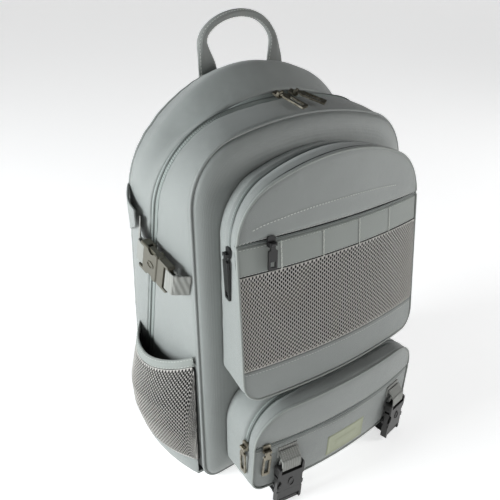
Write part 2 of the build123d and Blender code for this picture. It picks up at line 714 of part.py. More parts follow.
def back_system():
    """Pads, shoulder straps and the sheet behind the back panel."""
    pad_top = BODY_HEIGHT - 66
    pads = both(pad(-56, (pad_top + 144) / 2, 84, pad_top - 144, PAD_THICK, 20)) + [pad(0, 82, 154, 84, PAD_THICK + 2, 22)]
    plane = Plane(origin=(-STRAP_X, 0, 0), x_dir=(0, 1, 0), z_dir=(1, 0, 0))
    line = Spline(*STRAP_LINE)
    samples = [line @ (i / STRAP_STEPS) for i in range(STRAP_STEPS + 1)]
    body = ribbon(plane, [(p.X, p.Y) for p in samples], STRAP_WIDTH, STRAP_THICK)
    top = STRAP_LINE[0]
    about = Pos(-STRAP_X, top[0], top[1])
    splay = about * Rot(0, STRAP_SPLAY, 0) * about.inverse()
    strap = (splay * body) & Pos(0, BACK_Y + 300, 300) * Box(900, 600, 900)
    strap = strap - pads[0]
    end_y, end_z = STRAP_LINE[-1]
    aim = Plane(origin=(-STRAP_X, end_y - 8, end_z - 14), x_dir=(0, 1, 0), z_dir=(1, 0, 0))
    lock = Plane(origin=(-STRAP_X, end_y - 7, end_z - 16), x_dir=(1, 0, 0), z_dir=(0, 1, 0.5))
    ladder = splay * lock * (Box(34, 26, 4) - [Pos(0, s * 6, 0) * Box(26.5, 5, 6) for s in (-1, 1)])
    web = splay * ribbon(aim, [(-1.5, -9), (-8, -30), (BACK_Y - end_y + 9, 46 - end_z)], 20)
    sheet_top = BODY_HEIGHT - 86
    sheet = Pos(0, BACK_Y - FABRIC - 0.8, sheet_top / 2 + 20) * Box(232, 1.6, sheet_top - 40)
    sleeve_top = BODY_HEIGHT - 146
    sleeve = Pos(0, BACK_Y - FABRIC - 26, sleeve_top / 2 + 10) * Box(248, 3, sleeve_top - 20)
    left, right = both(strap)
    return {
        "back_pads": pads,
        "shoulder_strap_left": [left],
        "shoulder_strap_right": [right],
        "ladder_locks": both(ladder),
        "shoulder_webbing": both(web - ladder),
        "frame_sheet": [sheet],
        "laptop_sleeve": [sleeve],
    }


# ---------------------------------------------------------------- sliders and pulls

SLIDER_LENGTH = 11.0
SLIDER_WIDTH = 9.0
SLIDER_LIFT = 1.9  # underside above the tape
SLIDER_THICK = 2.0
PIN_RADIUS = 0.9
PIN_X = 2.0
PIN_RISE = 2.3  # pin's middle above the slider's top
PULL_THICK = 2.2
PULL_DROOP = 4.0  # degrees that a resting pull leans down towards the cloth
METAL_PULL = (35.0, 9.5, (11.0, 31.0))  # length, width, window
LONG_PULL = (50.0, 10.5, (41.0, 47.0))
SHORT_PULL = (27.0, 10.0, (18.0, 24.0))

MAIN_SLIDER_X = 11.0
MAIN_PULL_RISE = 8.0
MAIN_PULL_YAW = {"left": 12.0, "right": 28.0}  # degrees that each pull lies to the side
UPPER_SLIDER_Z = UPPER_TOP - 82
FACE_SLIDER_X = -99.0
LOWER_SLIDER_Z = 80.0
LOWER_FACE_SLIDER_X = -117.5


def seat(block, guess, along):
    """Place on a block's surface next to a point: z points out of it and x runs nearly along."""
    face = block.faces().sort_by_distance(guess)[0]
    point = face.closest_points(Vertex(*guess))[0]
    out = face.normal_at(point)
    aim = Vector(*along)
    aim = aim - out * aim.dot(out)
    return Location(Plane(origin=point, x_dir=aim, z_dir=out))


def slider(place):
    """Zip slider with the pin for its pull."""
    top = SLIDER_LIFT + SLIDER_THICK
    block = Pos(0, 0, SLIDER_LIFT + SLIDER_THICK / 2) * Box(SLIDER_LENGTH, SLIDER_WIDTH, SLIDER_THICK)
    block = fillet(block.edges().filter_by(Axis.Z), 2)
    height = PIN_RISE + 1.6
    lugs = [Pos(PIN_X, s * 3.5, top + height / 2 - 0.1) * Box(3.4, 1.2, height) for s in (-1, 1)]
    pin = Pos(PIN_X, 0, top + PIN_RISE) * Rot(90, 0, 0) * Cylinder(PIN_RADIUS, 7.5)
    return place * ((block + lugs) + pin)


def pin_place(place):
    """Place of a slider's pin."""
    return place * Pos(PIN_X, 0, SLIDER_LIFT + SLIDER_THICK + PIN_RISE)


def pull(place, size, rise=-PULL_DROOP):
    """Zip pull on a slider's pin, lying along x and lifted by rise degrees."""
    length, width, (start, end) = size
    barrel = Rot(90, 0, 0) * Cylinder(1.9, 5)
    neck = Pos(4.2, 0, 0) * Box(5.4, 5, PULL_THICK)
    plate = Pos(6 + (length - 6) / 2, 0, 0) * Box(length - 6, width, PULL_THICK)
    plate = fillet(plate.edges().filter_by(Axis.Z), 1.4)
    hole = Pos((start + end) / 2, 0, 0) * Box(end - start, width - 4.4, PULL_THICK + 2)
    bore = Rot(90, 0, 0) * Cylinder(PIN_RADIUS + 0.2, 30)
    shape = ((barrel + neck) + plate) - [hole, bore]
    return pin_place(place) * Rot(0, -rise, 0) * shape


def zip_places():
    """Where each slider rests, with x the way its pull hangs."""
    places = {}
    crown = ZIP_EDGE.crown - ZIP_SINK
    middle = ZIP_EDGE.height - ZIP_EDGE.crown
    slope = radians(24)
    for side, sign in (("left", -1), ("right", 1)):
        turn = asin(sign * MAIN_SLIDER_X / crown)
        spot = ZIP_PLANE.from_local_coords(Vector(crown * sin(turn), middle + crown * cos(turn), 0))
        out = Vector(sin(turn), -sin(slope), cos(slope) * cos(turn))
        aim = Vector(0, -cos(slope), -sin(slope))
        aim = aim - out.normalized() * aim.dot(out.normalized())
        flat = Location(Plane(origin=spot, x_dir=aim, z_dir=out))
        places[f"main_zip_{side}"] = flat * Rot(0, 0, MAIN_PULL_YAW[side])
    down = (0, 0, -1)
    lane = UPPER_FACE_PLANE.from_local_coords(Vector(-UPPER_HALF, UPPER_SLIDER_Z, -UPPER_ZIP_BACK))
    places["upper_pocket_zip"] = seat(upper_block(ZIP_SINK), tuple(lane), down)
    face = bulge_drum(UPPER_FACE_PLANE, UPPER_HALF, UPPER_BULGE, 0.5)
    height = BAND_TOP + FACE_ZIP / 2
    spot = UPPER_FACE_PLANE.from_local_coords(Vector(FACE_SLIDER_X, height, UPPER_BULGE))
    places["mesh_pocket_zip"] = seat(face, tuple(spot), down)
    lane = (-LOWER_HALF, LOWER_FACE_Y + LOWER_ZIP_BACK, LOWER_SLIDER_Z)
    places["lower_pocket_zip"] = seat(lower_block(ZIP_SINK), lane, down)
    face = bulge_drum(LOWER_FACE_PLANE, LOWER_HALF, LOWER_BULGE, 0.5)
    spot = (LOWER_FACE_SLIDER_X, LOWER_FACE_Y - LOWER_BULGE, LOWER_SPLIT)
    places["lower_face_zip"] = seat(face, spot, down)
    return places


def sliders_and_pulls():
    """A slider and a pull for each place."""
    nodes = {}
    for zip_name, place in zip_places().items():
        size = {"upper_pocket_zip": LONG_PULL, "mesh_pocket_zip": SHORT_PULL}.get(zip_name, METAL_PULL)
        rise = MAIN_PULL_RISE if zip_name.startswith("main") else -PULL_DROOP
        nodes[f"{zip_name}_slider"] = [slider(place)]
        nodes[f"{zip_name}_pull"] = [pull(place, size, rise)]
    return nodes


if __name__ == "__main__":
    os.makedirs("parts", exist_ok=True)
    groups = [main_shell, upper_pocket, lower_pocket, side_pockets, side_straps, lash_straps]
    for group in [*groups, handle, back_system, sliders_and_pulls]:
        for name, pieces in group().items():
            save(name, *pieces)
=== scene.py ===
"""Looks of a daypack, made around its solid model. Metres; +Z is up and the front faces -Y."""

import bpy
import json
import math
import numpy as np
from mathutils import Matrix, Vector, noise
from mathutils.bvhtree import BVHTree


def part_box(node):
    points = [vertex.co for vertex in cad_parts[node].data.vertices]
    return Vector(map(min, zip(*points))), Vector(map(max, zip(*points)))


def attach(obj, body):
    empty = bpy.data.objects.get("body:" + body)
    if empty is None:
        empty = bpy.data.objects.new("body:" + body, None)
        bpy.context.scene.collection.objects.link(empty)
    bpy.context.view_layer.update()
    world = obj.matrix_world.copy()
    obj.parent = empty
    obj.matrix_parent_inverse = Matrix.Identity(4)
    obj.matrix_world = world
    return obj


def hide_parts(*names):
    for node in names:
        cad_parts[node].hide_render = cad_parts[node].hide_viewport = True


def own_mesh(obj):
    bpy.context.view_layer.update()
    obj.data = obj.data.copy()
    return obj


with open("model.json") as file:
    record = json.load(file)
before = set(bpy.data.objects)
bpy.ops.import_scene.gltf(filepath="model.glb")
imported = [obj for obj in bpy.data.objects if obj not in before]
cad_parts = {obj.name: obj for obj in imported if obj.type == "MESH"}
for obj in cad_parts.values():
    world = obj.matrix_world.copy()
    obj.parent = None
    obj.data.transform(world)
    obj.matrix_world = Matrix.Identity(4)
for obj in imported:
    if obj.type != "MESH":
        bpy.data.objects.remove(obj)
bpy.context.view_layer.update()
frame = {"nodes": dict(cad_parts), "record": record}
NODES = frame["nodes"]

MM = 0.001
SHELL = 1.6 * MM  # thickness of the shell's cloth
RAY_START = 0.7  # well outside the pack

# ---------------------------------------------------------------- finishes


class Wire:
    """A node's output with arithmetic on it; each operation adds a Math node."""

    def __init__(self, finish, socket):
        self.finish, self.socket = finish, socket

    def _math(self, operation, first, second):
        return self.finish.node("ShaderNodeMath", {"operation": operation}, {0: first, 1: second})

    def __add__(self, other):
        return self._math("ADD", self, other)

    def __radd__(self, other):
        return self._math("ADD", other, self)

    def __sub__(self, other):
        return self._math("SUBTRACT", self, other)

    def __rsub__(self, other):
        return self._math("SUBTRACT", other, self)

    def __mul__(self, other):
        return self._math("MULTIPLY", self, other)

    def __rmul__(self, other):
        return self._math("MULTIPLY", other, self)


class Finish:
    """A material under construction."""

    def __init__(self, name, **constants):
        self.material = bpy.data.materials.new(name)
        self.material.use_nodes = True
        self.tree = self.material.node_tree
        self.shader = self.tree.nodes["Principled BSDF"]
        for socket, value in constants.items():
            self.set(socket.replace("_", " "), value)

    def set(self, socket, value):
        """Sets or links one socket of the shader."""
        self._put(self.shader.inputs[socket], value)

    def _put(self, target, value):
        if isinstance(value, Wire):
            self.tree.links.new(value.socket, target)
        elif isinstance(value, tuple) and len(value) == 3 and target.type == "RGBA":
            target.default_value = (*value, 1)
        else:
            target.default_value = value

    def node(self, kind, settings=None, sockets=None, output=0):
        """Adds a node: its settings first, then the values or links of its sockets."""
        made = self.tree.nodes.new(kind)
        for key, value in (settings or {}).items():
            if key == "stops":
                ramp = made.color_ramp
                for i, (place, shade) in enumerate(value):
                    stop = ramp.elements[i] if i < 2 else ramp.elements.new(place)
                    stop.position, stop.color = place, (*shade, 1)
            else:
                setattr(made, key, value)
        for key, value in (sockets or {}).items():
            self._put(made.inputs[key], value)
        return Wire(self, made.outputs[output])

    def blend(self, factor, first, second):
        """Colour between two colours."""
        return self.node(
            "ShaderNodeMix", {"data_type": "RGBA"}, {0: factor, 6: first, 7: second}, output=2
        )

    def bump(self, height, depth, strength=1.0):
        """Relief of a height between 0 and 1, depth metres deep."""
        wire = self.node("ShaderNodeBump", None, {"Height": height, "Distance": depth, "Strength": strength})
        self.set("Normal", wire)


def shade(colour, factor):
    """A colour made lighter or darker."""
    return tuple(min(c * factor, 1.0) for c in colour)


def cloth(name, colour, rough=0.62, mottle=0.06, weave=0.9, crease=0.25, sheen=0.25):
    """Woven cloth: soft mottling, fine threads and faint handling creases."""
    f = Finish(name, Roughness=rough, Sheen_Weight=sheen, Sheen_Roughness=0.45, Specular_IOR_Level=0.35)
    place = f.node("ShaderNodeTexCoord", None, None, output=3)
    flat = f.node("ShaderNodeUVMap", {"uv_map": "cloth"})
    cloud = f.node("ShaderNodeTexNoise", None, {"Vector": place, "Scale": 14.0, "Detail": 4.0})
    threads = {"Vector": flat, "Scale": 520.0, "Distortion": 0.6}
    warp = f.node("ShaderNodeTexWave", {"bands_direction": "X"}, threads)
    weft = f.node("ShaderNodeTexWave", {"bands_direction": "Y"}, threads)
    tone = cloud * 0.75 + (warp + weft) * 0.12
    f.set("Base Color", f.blend(tone, shade(colour, 1 - mottle), shade(colour, 1 + mottle)))
    rumple = f.node(
        "ShaderNodeTexNoise", None, {"Vector": place, "Scale": 55.0, "Detail": 3.0, "Roughness": 0.55}
    )
    f.bump((warp + weft) * 0.5 * weave * 0.12 + rumple * crease, 0.0012)
    return f.material


def webbing_cloth(name, colour, rough=0.7):
    """Flat webbing: ribs across it."""
    f = Finish(name, Roughness=rough, Sheen_Weight=0.15, Specular_IOR_Level=0.3)
    flat = f.node("ShaderNodeUVMap", {"uv_map": "cloth"})
    ribs = f.node(
        "ShaderNodeTexWave", {"bands_direction": "X"}, {"Vector": flat, "Scale": 110.0, "Distortion": 0.3}
    )
    rows = f.node("ShaderNodeTexWave", {"bands_direction": "Y"}, {"Vector": flat, "Scale": 190.0})
    weave = ribs * 0.7 + rows * 0.3
    f.set("Base Color", f.blend(weave, shade(colour, 0.8), shade(colour, 1.12)))
    f.bump(weave, 0.0006, 0.8)
    return f.material


def plastic(name, colour, rough=0.42):
    """Moulded plastic with a fine grain."""
    f = Finish(name, Roughness=rough, Specular_IOR_Level=0.5)
    place = f.node("ShaderNodeTexCoord", None, None, output=3)
    grain = f.node("ShaderNodeTexNoise", None, {"Vector": place, "Scale": 900.0, "Detail": 2.0})
    cloud = f.node("ShaderNodeTexNoise", None, {"Vector": place, "Scale": 60.0})
    f.set("Base Color", f.blend(cloud, shade(colour, 0.9), shade(colour, 1.1)))
    f.bump(grain, 0.0001, 0.5)
    return f.material


def metal(name, colour, rough=0.34, worn=(0.62, 0.58, 0.48)):
    """Antique metal, rubbed brighter in places."""
    f = Finish(name, Metallic=1.0, Specular_IOR_Level=0.5)
    place = f.node("ShaderNodeTexCoord", None, None, output=3)
    cloud = f.node("ShaderNodeTexNoise", None, {"Vector": place, "Scale": 240.0, "Detail": 3.0})
    f.set("Base Color", f.blend(cloud * cloud, shade(colour, 0.8), worn))
    f.set("Roughness", cloud * 0.25 + (rough - 0.1))
    return f.material


SAGE = (0.255, 0.272, 0.262)
FINISHES = {
    "shell_fabric": cloth("shell_fabric", SAGE, rough=0.5, crease=0.6),
    # dark cloth of the pocket liner; it also colours the side pockets' sheets of painted shade
    "lining_fabric": cloth("lining_fabric", (0.022, 0.022, 0.021), rough=0.9, sheen=0.0),
    "back_fabric": cloth("back_fabric", (0.16, 0.17, 0.165), rough=0.8),
    "pocket_mesh": cloth("pocket_mesh", (0.50, 0.485, 0.455), rough=0.7, mottle=0.1),
    "pocket_binding": cloth("pocket_binding", (0.27, 0.29, 0.272), rough=0.7),
    "zip_tape": webbing_cloth("zip_tape", (0.30, 0.335, 0.318)),
    "webbing": webbing_cloth("webbing", (0.27, 0.275, 0.255)),
    "handle_cloth": cloth("handle_cloth", (0.215, 0.225, 0.215), rough=0.72, weave=1.6, crease=0.5),
    "dark_webbing": webbing_cloth("dark_webbing", (0.018, 0.019, 0.019)),
    "side_buckle_plastic": plastic("side_buckle_plastic", (0.085, 0.08, 0.058), 0.36),
    # lash buckles far darker than the side buckles: partly their own black plastic, partly painted shade for
    # the shadow they hang in
    "lash_buckle_plastic": plastic("lash_buckle_plastic", (0.014, 0.0135, 0.013), 0.36),
    "label_rubber": plastic("label_rubber", (0.33, 0.35, 0.25), 0.5),
    "pad_mesh": cloth("pad_mesh", (0.13, 0.138, 0.134), rough=0.85, weave=2.2),
    "frame_sheet": plastic("frame_sheet", (0.06, 0.06, 0.06), 0.6),
    "antique_metal": metal("antique_metal", (0.16, 0.14, 0.10)),
    "black_metal": plastic("black_metal", (0.012, 0.012, 0.012), 0.3),
    "zip_coil": plastic("zip_coil", (0.12, 0.135, 0.128), 0.5),
    "thread": plastic("thread", (0.62, 0.64, 0.60), 0.7),
}


def paint(obj, finish):
    """Gives a piece its finish."""
    obj.data.materials.clear()
    obj.data.materials.append(FINISHES[finish])
    return obj


# ---------------------------------------------------------------- reading the solid model


def solid(*names):
    """One search tree over some nodes' surfaces."""
    verts, faces = [], []
    for name in names:
        mesh = NODES[name].data
        base = len(verts)
        verts += [v.co.copy() for v in mesh.vertices]
        faces += [[base + i for i in p.vertices] for p in mesh.polygons]
    return BVHTree.FromPolygons(verts, faces)


def points_of(*names):
    """All corner points of some nodes."""
    return np.array([v.co[:] for name in names for v in NODES[name].data.vertices])


def seam_plane(*names):
    """(y at the floor, slope of y with height) of the plane that a seam or zip lies in."""
    p = points_of(*names)
    fit = np.linalg.lstsq(np.c_[np.ones(len(p)), p[:, 2]], p[:, 1], rcond=None)[0]
    return float(fit[0]), float(fit[1])


def shot(tree, origin, direction):
    """Where a ray first meets a surface, or None."""
    hit = tree.ray_cast(Vector(origin), Vector(direction).normalized())
    return hit[0]


def even(points, count, closed=True):
    """The same line with its points evenly spaced."""
    p = np.asarray(points, float)
    if closed:
        p = np.vstack([p, p[:1]])
    run = np.r_[0, np.cumsum(np.linalg.norm(np.diff(p, axis=0), axis=1))]
    goal = np.linspace(0, run[-1], count + 1 if closed else count)
    q = np.stack([np.interp(goal, run, p[:, k]) for k in range(3)], 1)
    return q[:-1] if closed else q


RING = 480
RING_RAYS = 1440


def ring(tree, plane, centre_z, count=RING):
    """Outline of a solid where a leaning plane cuts it, from the bottom's middle round by the left."""
    y0, slope = plane
    out = []
    for i in range(RING_RAYS):
        a = -math.pi / 2 - 2 * math.pi * i / RING_RAYS
        dx, dz = math.cos(a), math.sin(a)
        far = 0.6
        origin = (far * dx, y0 + slope * (centre_z + far * dz), centre_z + far * dz)
        spot = shot(tree, origin, (-dx, -slope * dz, -dz))
        if spot is not None and spot.x * dx + (spot.z - centre_z) * dz > 0:
            out.append(spot[:])
    return even(out, count)


def between(a, b, t):
    """Plane a share t of the way from plane a to plane b."""
    return (a[0] + (b[0] - a[0]) * t, a[1] + (b[1] - a[1]) * t)


def relaxed(rings, rounds):
    """Rows smoothed against their neighbours, with the first and last row kept."""
    g = np.array(rings)
    for _ in range(rounds):
        g[1:-1] = g[1:-1] * 0.5 + (g[:-2] + g[2:]) * 0.25
    return g


# ---------------------------------------------------------------- making cloth pieces


def grid_mesh(name, grid, closed=False, flip=False):
    """Object from rows of points, with a map of its flat size in metres."""
    g = np.asarray(grid, float)
    rows, cols = g.shape[:2]
    mesh = bpy.data.meshes.new(name)
    wide = cols if closed else cols - 1
    faces = []
    for r in range(rows - 1):
        for c in range(wide):
            d = (c + 1) % cols
            quad = (r * cols + c, r * cols + d, (r + 1) * cols + d, (r + 1) * cols + c)
            faces.append(quad[::-1] if flip else quad)
    mesh.from_pydata([tuple(p) for p in g.reshape(-1, 3)], [], faces)
    middle = g[rows // 2]
    ends = np.vstack([middle, middle[:1]]) if closed else middle
    u = np.r_[0, np.cumsum(np.linalg.norm(np.diff(ends, axis=0), axis=1))]
    v = np.r_[0, np.cumsum(np.linalg.norm(np.diff(g.mean(axis=1), axis=0), axis=1))]
    v = np.maximum(v, np.linspace(0, 1e-3, rows))
    layer = mesh.uv_layers.new(name="cloth")
    flat = np.zeros((len(mesh.loops), 2))
    k = 0
    for r in range(rows - 1):
        for c in range(wide):
            quad = [(c, r), (c + 1, r), (c + 1, r + 1), (c, r + 1)]
            for cc, rr in quad[::-1] if flip else quad:
                flat[k] = (u[cc], v[rr])
                k += 1
    layer.data.foreach_set("uv", flat.ravel())
    mesh.polygons.foreach_set("use_smooth", [True] * len(mesh.polygons))
    mesh.update()
    obj = bpy.data.objects.new(name, mesh)
    bpy.context.scene.collection.objects.link(obj)
    return obj


def thicken(obj, thickness, offset=-1.0):
    """Gives a sheet its real thickness; offset -1 keeps its face where it is."""
    mod = obj.modifiers.new("thickness", "SOLIDIFY")
    mod.thickness, mod.offset, mod.use_even_offset = thickness, offset, False
    return obj


def sewn(obj, thickness, finish, slot, *nodes):
    """Finishes a cloth piece of the pack, and hides the nodes that it is seen in place of."""
    if thickness:
        thicken(obj, thickness)
    paint(obj, finish)
    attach(obj, "pack")
    if nodes:
        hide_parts(*nodes)
    return obj


def soften(obj, width, segments=2):
    """Rounds a hard piece's edges."""
    mod = obj.modifiers.new("edges", "BEVEL")
    mod.width, mod.segments, mod.limit_method = width, segments, "ANGLE"
    mod.angle_limit = math.radians(40)
    mod.harden_normals = False
    return obj


def normals_of(grid, closed=False):
    """Unit normals of rows of points."""
    g = np.asarray(grid, float)
    if closed:
        du = np.roll(g, -1, axis=1) - np.roll(g, 1, axis=1)
    else:
        du = np.gradient(g, axis=1)
    dv = np.gradient(g, axis=0)
    n = np.cross(du, dv)
    return n / np.maximum(np.linalg.norm(n, axis=2, keepdims=True), 1e-12)


def ripple(grid, outward, height, size, seed, stretch=(1, 1, 1), hold=None):
    """Moves cloth in and out by soft waves; hold is 0 where it stays put and 1 where it is free."""
    g = np.asarray(grid, float)
    out = g.copy()
    s = Vector((seed * 3.1, seed * 1.7, seed * 2.3))
    for r in range(g.shape[0]):
        for c in range(g.shape[1]):
            p = g[r, c]
            q = Vector((p[0] * stretch[0], p[1] * stretch[1], p[2] * stretch[2])) / size + s
            wave = noise.noise(q) + 0.45 * noise.noise(q * 2.3)
            k = 1.0 if hold is None else hold[r, c]
            out[r, c] = p + outward[r, c] * (wave * height * k)
    return out


def tube(name, line, radius, sides=8):
    """Round piping sewn along a closed line."""
    p = np.asarray(line, float)
    t = np.roll(p, -1, axis=0) - np.roll(p, 1, axis=0)
    t /= np.linalg.norm(t, axis=1, keepdims=True)
    side = np.cross(t, (0, 1, 0))
    weak = np.linalg.norm(side, axis=1) < 0.2
    side[weak] = np.cross(t[weak], (0, 0, 1))
    side /= np.linalg.norm(side, axis=1, keepdims=True)
    other = np.cross(t, side)
    rows = []
    for i in range(len(p)):
        row = []
        for k in range(sides):
            a = 2 * math.pi * k / sides
            row.append(p[i] + side[i] * math.cos(a) * radius + other[i] * math.sin(a) * radius)
        rows.append(row)
    g = np.array(rows)
    return grid_mesh(name, np.vstack([g, g[:1]]), closed=True, flip=True)


def stitches(name, line, outward, length=2.6, gap=1.3, width=0.55, body="pack"):
    """A row of stitches along a line; outward is a normal for each point of it."""
    p = np.asarray(line, float)
    n = np.asarray(outward, float)
    run = np.r_[0, np.cumsum(np.linalg.norm(np.diff(p, axis=0), axis=1))]
    verts, faces = [], []
    at = 0.0
    while at + length * MM < run[-1]:
        ends = []
        for s in (at, at + length * MM / 2, at + length * MM):
            spot = np.array([np.interp(s, run, p[:, k]) for k in range(3)])
            out = np.array([np.interp(s, run, n[:, k]) for k in range(3)])
            ends.append((spot, out / np.linalg.norm(out)))
        along = ends[2][0] - ends[0][0]
        along /= max(np.linalg.norm(along), 1e-9)
        base = len(verts)
        for (spot, out), rise, w in zip(ends, (-0.1, 0.35, -0.1), (0.6, 1.0, 0.6)):
            across = np.cross(along, out) * width * MM / 2 * w
            top = spot + out * rise * MM
            verts += [top - across, top + out * 0.15 * MM, top + across]
        for k in range(2):
            a = base + 3 * k
            faces += [(a, a + 3, a + 4, a + 1), (a + 1, a + 4, a + 5, a + 2)]
        at += (length + gap) * MM
    mesh = bpy.data.meshes.new(name)
    mesh.from_pydata([tuple(v) for v in verts], [], faces)
    mesh.update()
    obj = bpy.data.objects.new(name, mesh)
    bpy.context.scene.collection.objects.link(obj)
    paint(obj, "thread")
    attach(obj, body)


# ---------------------------------------------------------------- main compartment

BODY = solid("rear_gusset", "front_gusset", "base_panel", "main_zip", "back_panel")
body_low, body_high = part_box("rear_gusset")
MIDDLE_Z = body_high.z * 0.47
back_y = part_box("back_panel")[1].y
BACK_SEAM = (back_y - 0.4 * MM, 0.0)
ZIP_SEAM = seam_plane("main_zip")
FRONT_SEAM = seam_plane("front_piping")
ZIP_HALF = 5.6 * MM


def shifted(plane, forward):
    """A leaning plane moved forward."""
    return (plane[0] - forward * math.hypot(1, plane[1]), plane[1])


def body_rows(start, end, count):
    """Outlines of the body between two planes."""
    return [ring(BODY, between(start, end, i / (count - 1)), MIDDLE_Z) for i in range(count)]


def rolled_edges(rows, depth):
    """Turns the first and last row into the seam, below the face of the cloth."""
    g = np.array(rows)
    n = normals_of(g, closed=True)
    middle = np.array([0, g[..., 1].mean(), MIDDLE_Z])
    away = g - middle
    flip = np.sign((n * away).sum(axis=2, keepdims=True))
    n = n * flip
    g[0] -= n[0] * depth
    g[-1] -= n[-1] * depth
    return g, n


def puckers(grid, outward, seam_rows, depth, seed):
    """Small gathers that run out of a seam and fade within a few rows."""
    g = np.asarray(grid, float)
    out = g.copy()
    rows, cols = g.shape[:2]
    for row in seam_rows:
        for r in range(rows):
            fade = math.exp(-((r - row) / (0.16 * rows)) ** 2)
            if fade < 0.03:
                continue
            for c in range(cols):
                p = Vector(g[row, c]) / (9 * MM) + Vector((seed, seed, row))
                gather = noise.noise(p) * max(0.0, noise.noise(p * 0.17) + 0.35)
                out[r, c] += outward[r, c] * gather * depth * fade
    return out


def gusset(start, end, count, smoothing, seed, wave):
    """One sewn ring of the body, with soft waves that fade out at its seams."""
    rows = relaxed(body_rows(start, end, count), smoothing)
    g, n = rolled_edges(rows, 1.4 * MM)
    hold = np.zeros(g.shape[:2])
    t = np.linspace(0, 1, count)
    hold[:] = (np.sin(np.pi * t) ** 0.7)[:, None]
    g = g + n * (hold * 1.2 * MM)[..., None]
    low = np.clip((g[..., 2] - 0.012) / 0.05, 0, 1)
    g = ripple(g, n, wave, 0.075, seed, (1, 1, 0.55), hold * low)
    g = puckers(g, n, (1, count - 2), 1.5 * MM, seed)
    return g, n


rear_rows, rear_out = gusset(BACK_SEAM, shifted(ZIP_SEAM, -ZIP_HALF), 24, 7, 1, 2.6 * MM)
front_rows, _ = gusset(shifted(ZIP_SEAM, ZIP_HALF), shifted(FRONT_SEAM, -0.6 * MM), 22, 3, 2, 2.2 * MM)
for rows, name in ((rear_rows, "rear_gusset"), (front_rows, "front_gusset")):
    rows[..., 2] = np.maximum(rows[..., 2], 0.4 * MM)
    piece = grid_mesh(name + "_cloth", rows, closed=True, flip=True)
    sewn(piece, SHELL, "shell_fabric", "shell_fabric", name)

# the zip between them
tape_rows = np.array(body_rows(shifted(ZIP_SEAM, -ZIP_HALF), shifted(ZIP_SEAM, ZIP_HALF), 7))
n = normals_of(tape_rows, closed=True)
n *= np.sign((n * (tape_rows - np.array([0, tape_rows[..., 1].mean(), MIDDLE_Z]))).sum(axis=2, keepdims=True))
tape_rows -= n * 1.1 * MM
tape = grid_mesh("main_zip_tape", tape_rows, closed=True, flip=True)
sewn(tape, 0.8 * MM, "zip_tape", "zip_tape", "main_zip")


def coil(name, line, outward, radius=1.5 * MM):
    """Nylon coil along a zip's middle, with a ridge for every tooth."""
    p, n = np.asarray(line), np.asarray(outward)
    fine = even(p, int(len(p) * 4), closed=False)
    run = np.linspace(0, 1, len(p))
    goal = np.linspace(0, 1, len(fine))
    out = np.stack([np.interp(goal, run, n[:, k]) for k in range(3)], 1)
    t = np.gradient(fine, axis=0)
    t /= np.linalg.norm(t, axis=1, keepdims=True)
    rows = []
    for i in range(len(fine)):
        across = np.cross(t[i], out[i])
        swell = 1.0 if i % 2 else 0.72
        row = []
        for k in range(7):
            a = math.pi * k / 6
            row.append(fine[i] + across * math.cos(a) * radius + out[i] * math.sin(a) * radius * 0.7 * swell)
        rows.append(row)
    sewn(grid_mesh(name, rows), 0, "zip_coil", "zip_tape")


coil("main_zip_coil", np.vstack([tape_rows[3], tape_rows[3][:1]]), np.vstack([n[3], n[3][:1]]))

# piping in the front seam
front_ring = ring(solid("front_piping"), FRONT_SEAM, MIDDLE_Z)
toward = front_ring - np.array([0, 0, MIDDLE_Z])
toward[:, 1] = 0
toward /= np.linalg.norm(toward, axis=1, keepdims=True)
piping = tube("front_seam_piping", front_ring - toward * 1.5 * MM, 1.7 * MM)
sewn(piping, 0, "shell_fabric", "pocket_binding", "front_piping")

# front panel: rings shrinking towards the middle
PANEL = solid("front_panel")
PANEL_RINGS = 18
rim = front_ring - toward * 2.2 * MM
panel_rows = []
for k in range(PANEL_RINGS):
    share = 1 - (k / (PANEL_RINGS - 1)) ** 1.5 * 0.995
    row = []
    for q in rim:
        x, z = q[0] * share, MIDDLE_Z + (q[2] - MIDDLE_Z) * share
        spot = shot(PANEL, (x, -0.6, z), (0, 1, 0))
        y = spot.y if spot is not None else FRONT_SEAM[0] + FRONT_SEAM[1] * z
        row.append((x, y, z))
    panel_rows.append(row)
panel_rows = relaxed(panel_rows, 3)
panel = grid_mesh("front_panel_cloth", panel_rows, closed=True, flip=True)
sewn(panel, SHELL, "shell_fabric", "shell_fabric", "front_panel")

# base: a patch over the gussets' underside
base_low, base_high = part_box("base_panel")
base_rows = []
for i in range(9):
    y = base_low.y + 12 * MM + (base_high.y - base_low.y - 24 * MM) * i / 8
    base_rows.append([(x, y, 0.2 * MM) for x in np.linspace(base_low.x + 46 * MM, base_high.x - 46 * MM, 24)])
base = grid_mesh("base_patch", base_rows, flip=True)
sewn(base, SHELL, "back_fabric", "shell_fabric", "base_panel")

# back panel
back_rim = ring(solid("back_panel"), (back_y - 1.0 * MM, 0.0), MIDDLE_Z)
back_rows = []
for k in range(12):
    share = 1 - k / 11 * 0.995
    y = back_y - 0.6 * MM * (k == 0)
    back_rows.append([(q[0] * share, y, MIDDLE_Z + (q[2] - MIDDLE_Z) * share) for q in back_rim])
back = grid_mesh("back_panel_cloth", back_rows, closed=True)
sewn(back, SHELL, "back_fabric", "back_fabric", "back_panel")
back_piping = tube("back_seam_piping", rear_rows[0] + rear_out[0] * 0.8 * MM, 1.6 * MM)
sewn(back_piping, 0, "shell_fabric", "pocket_binding")

# ---------------------------------------------------------------- patches cut from a pocket's face


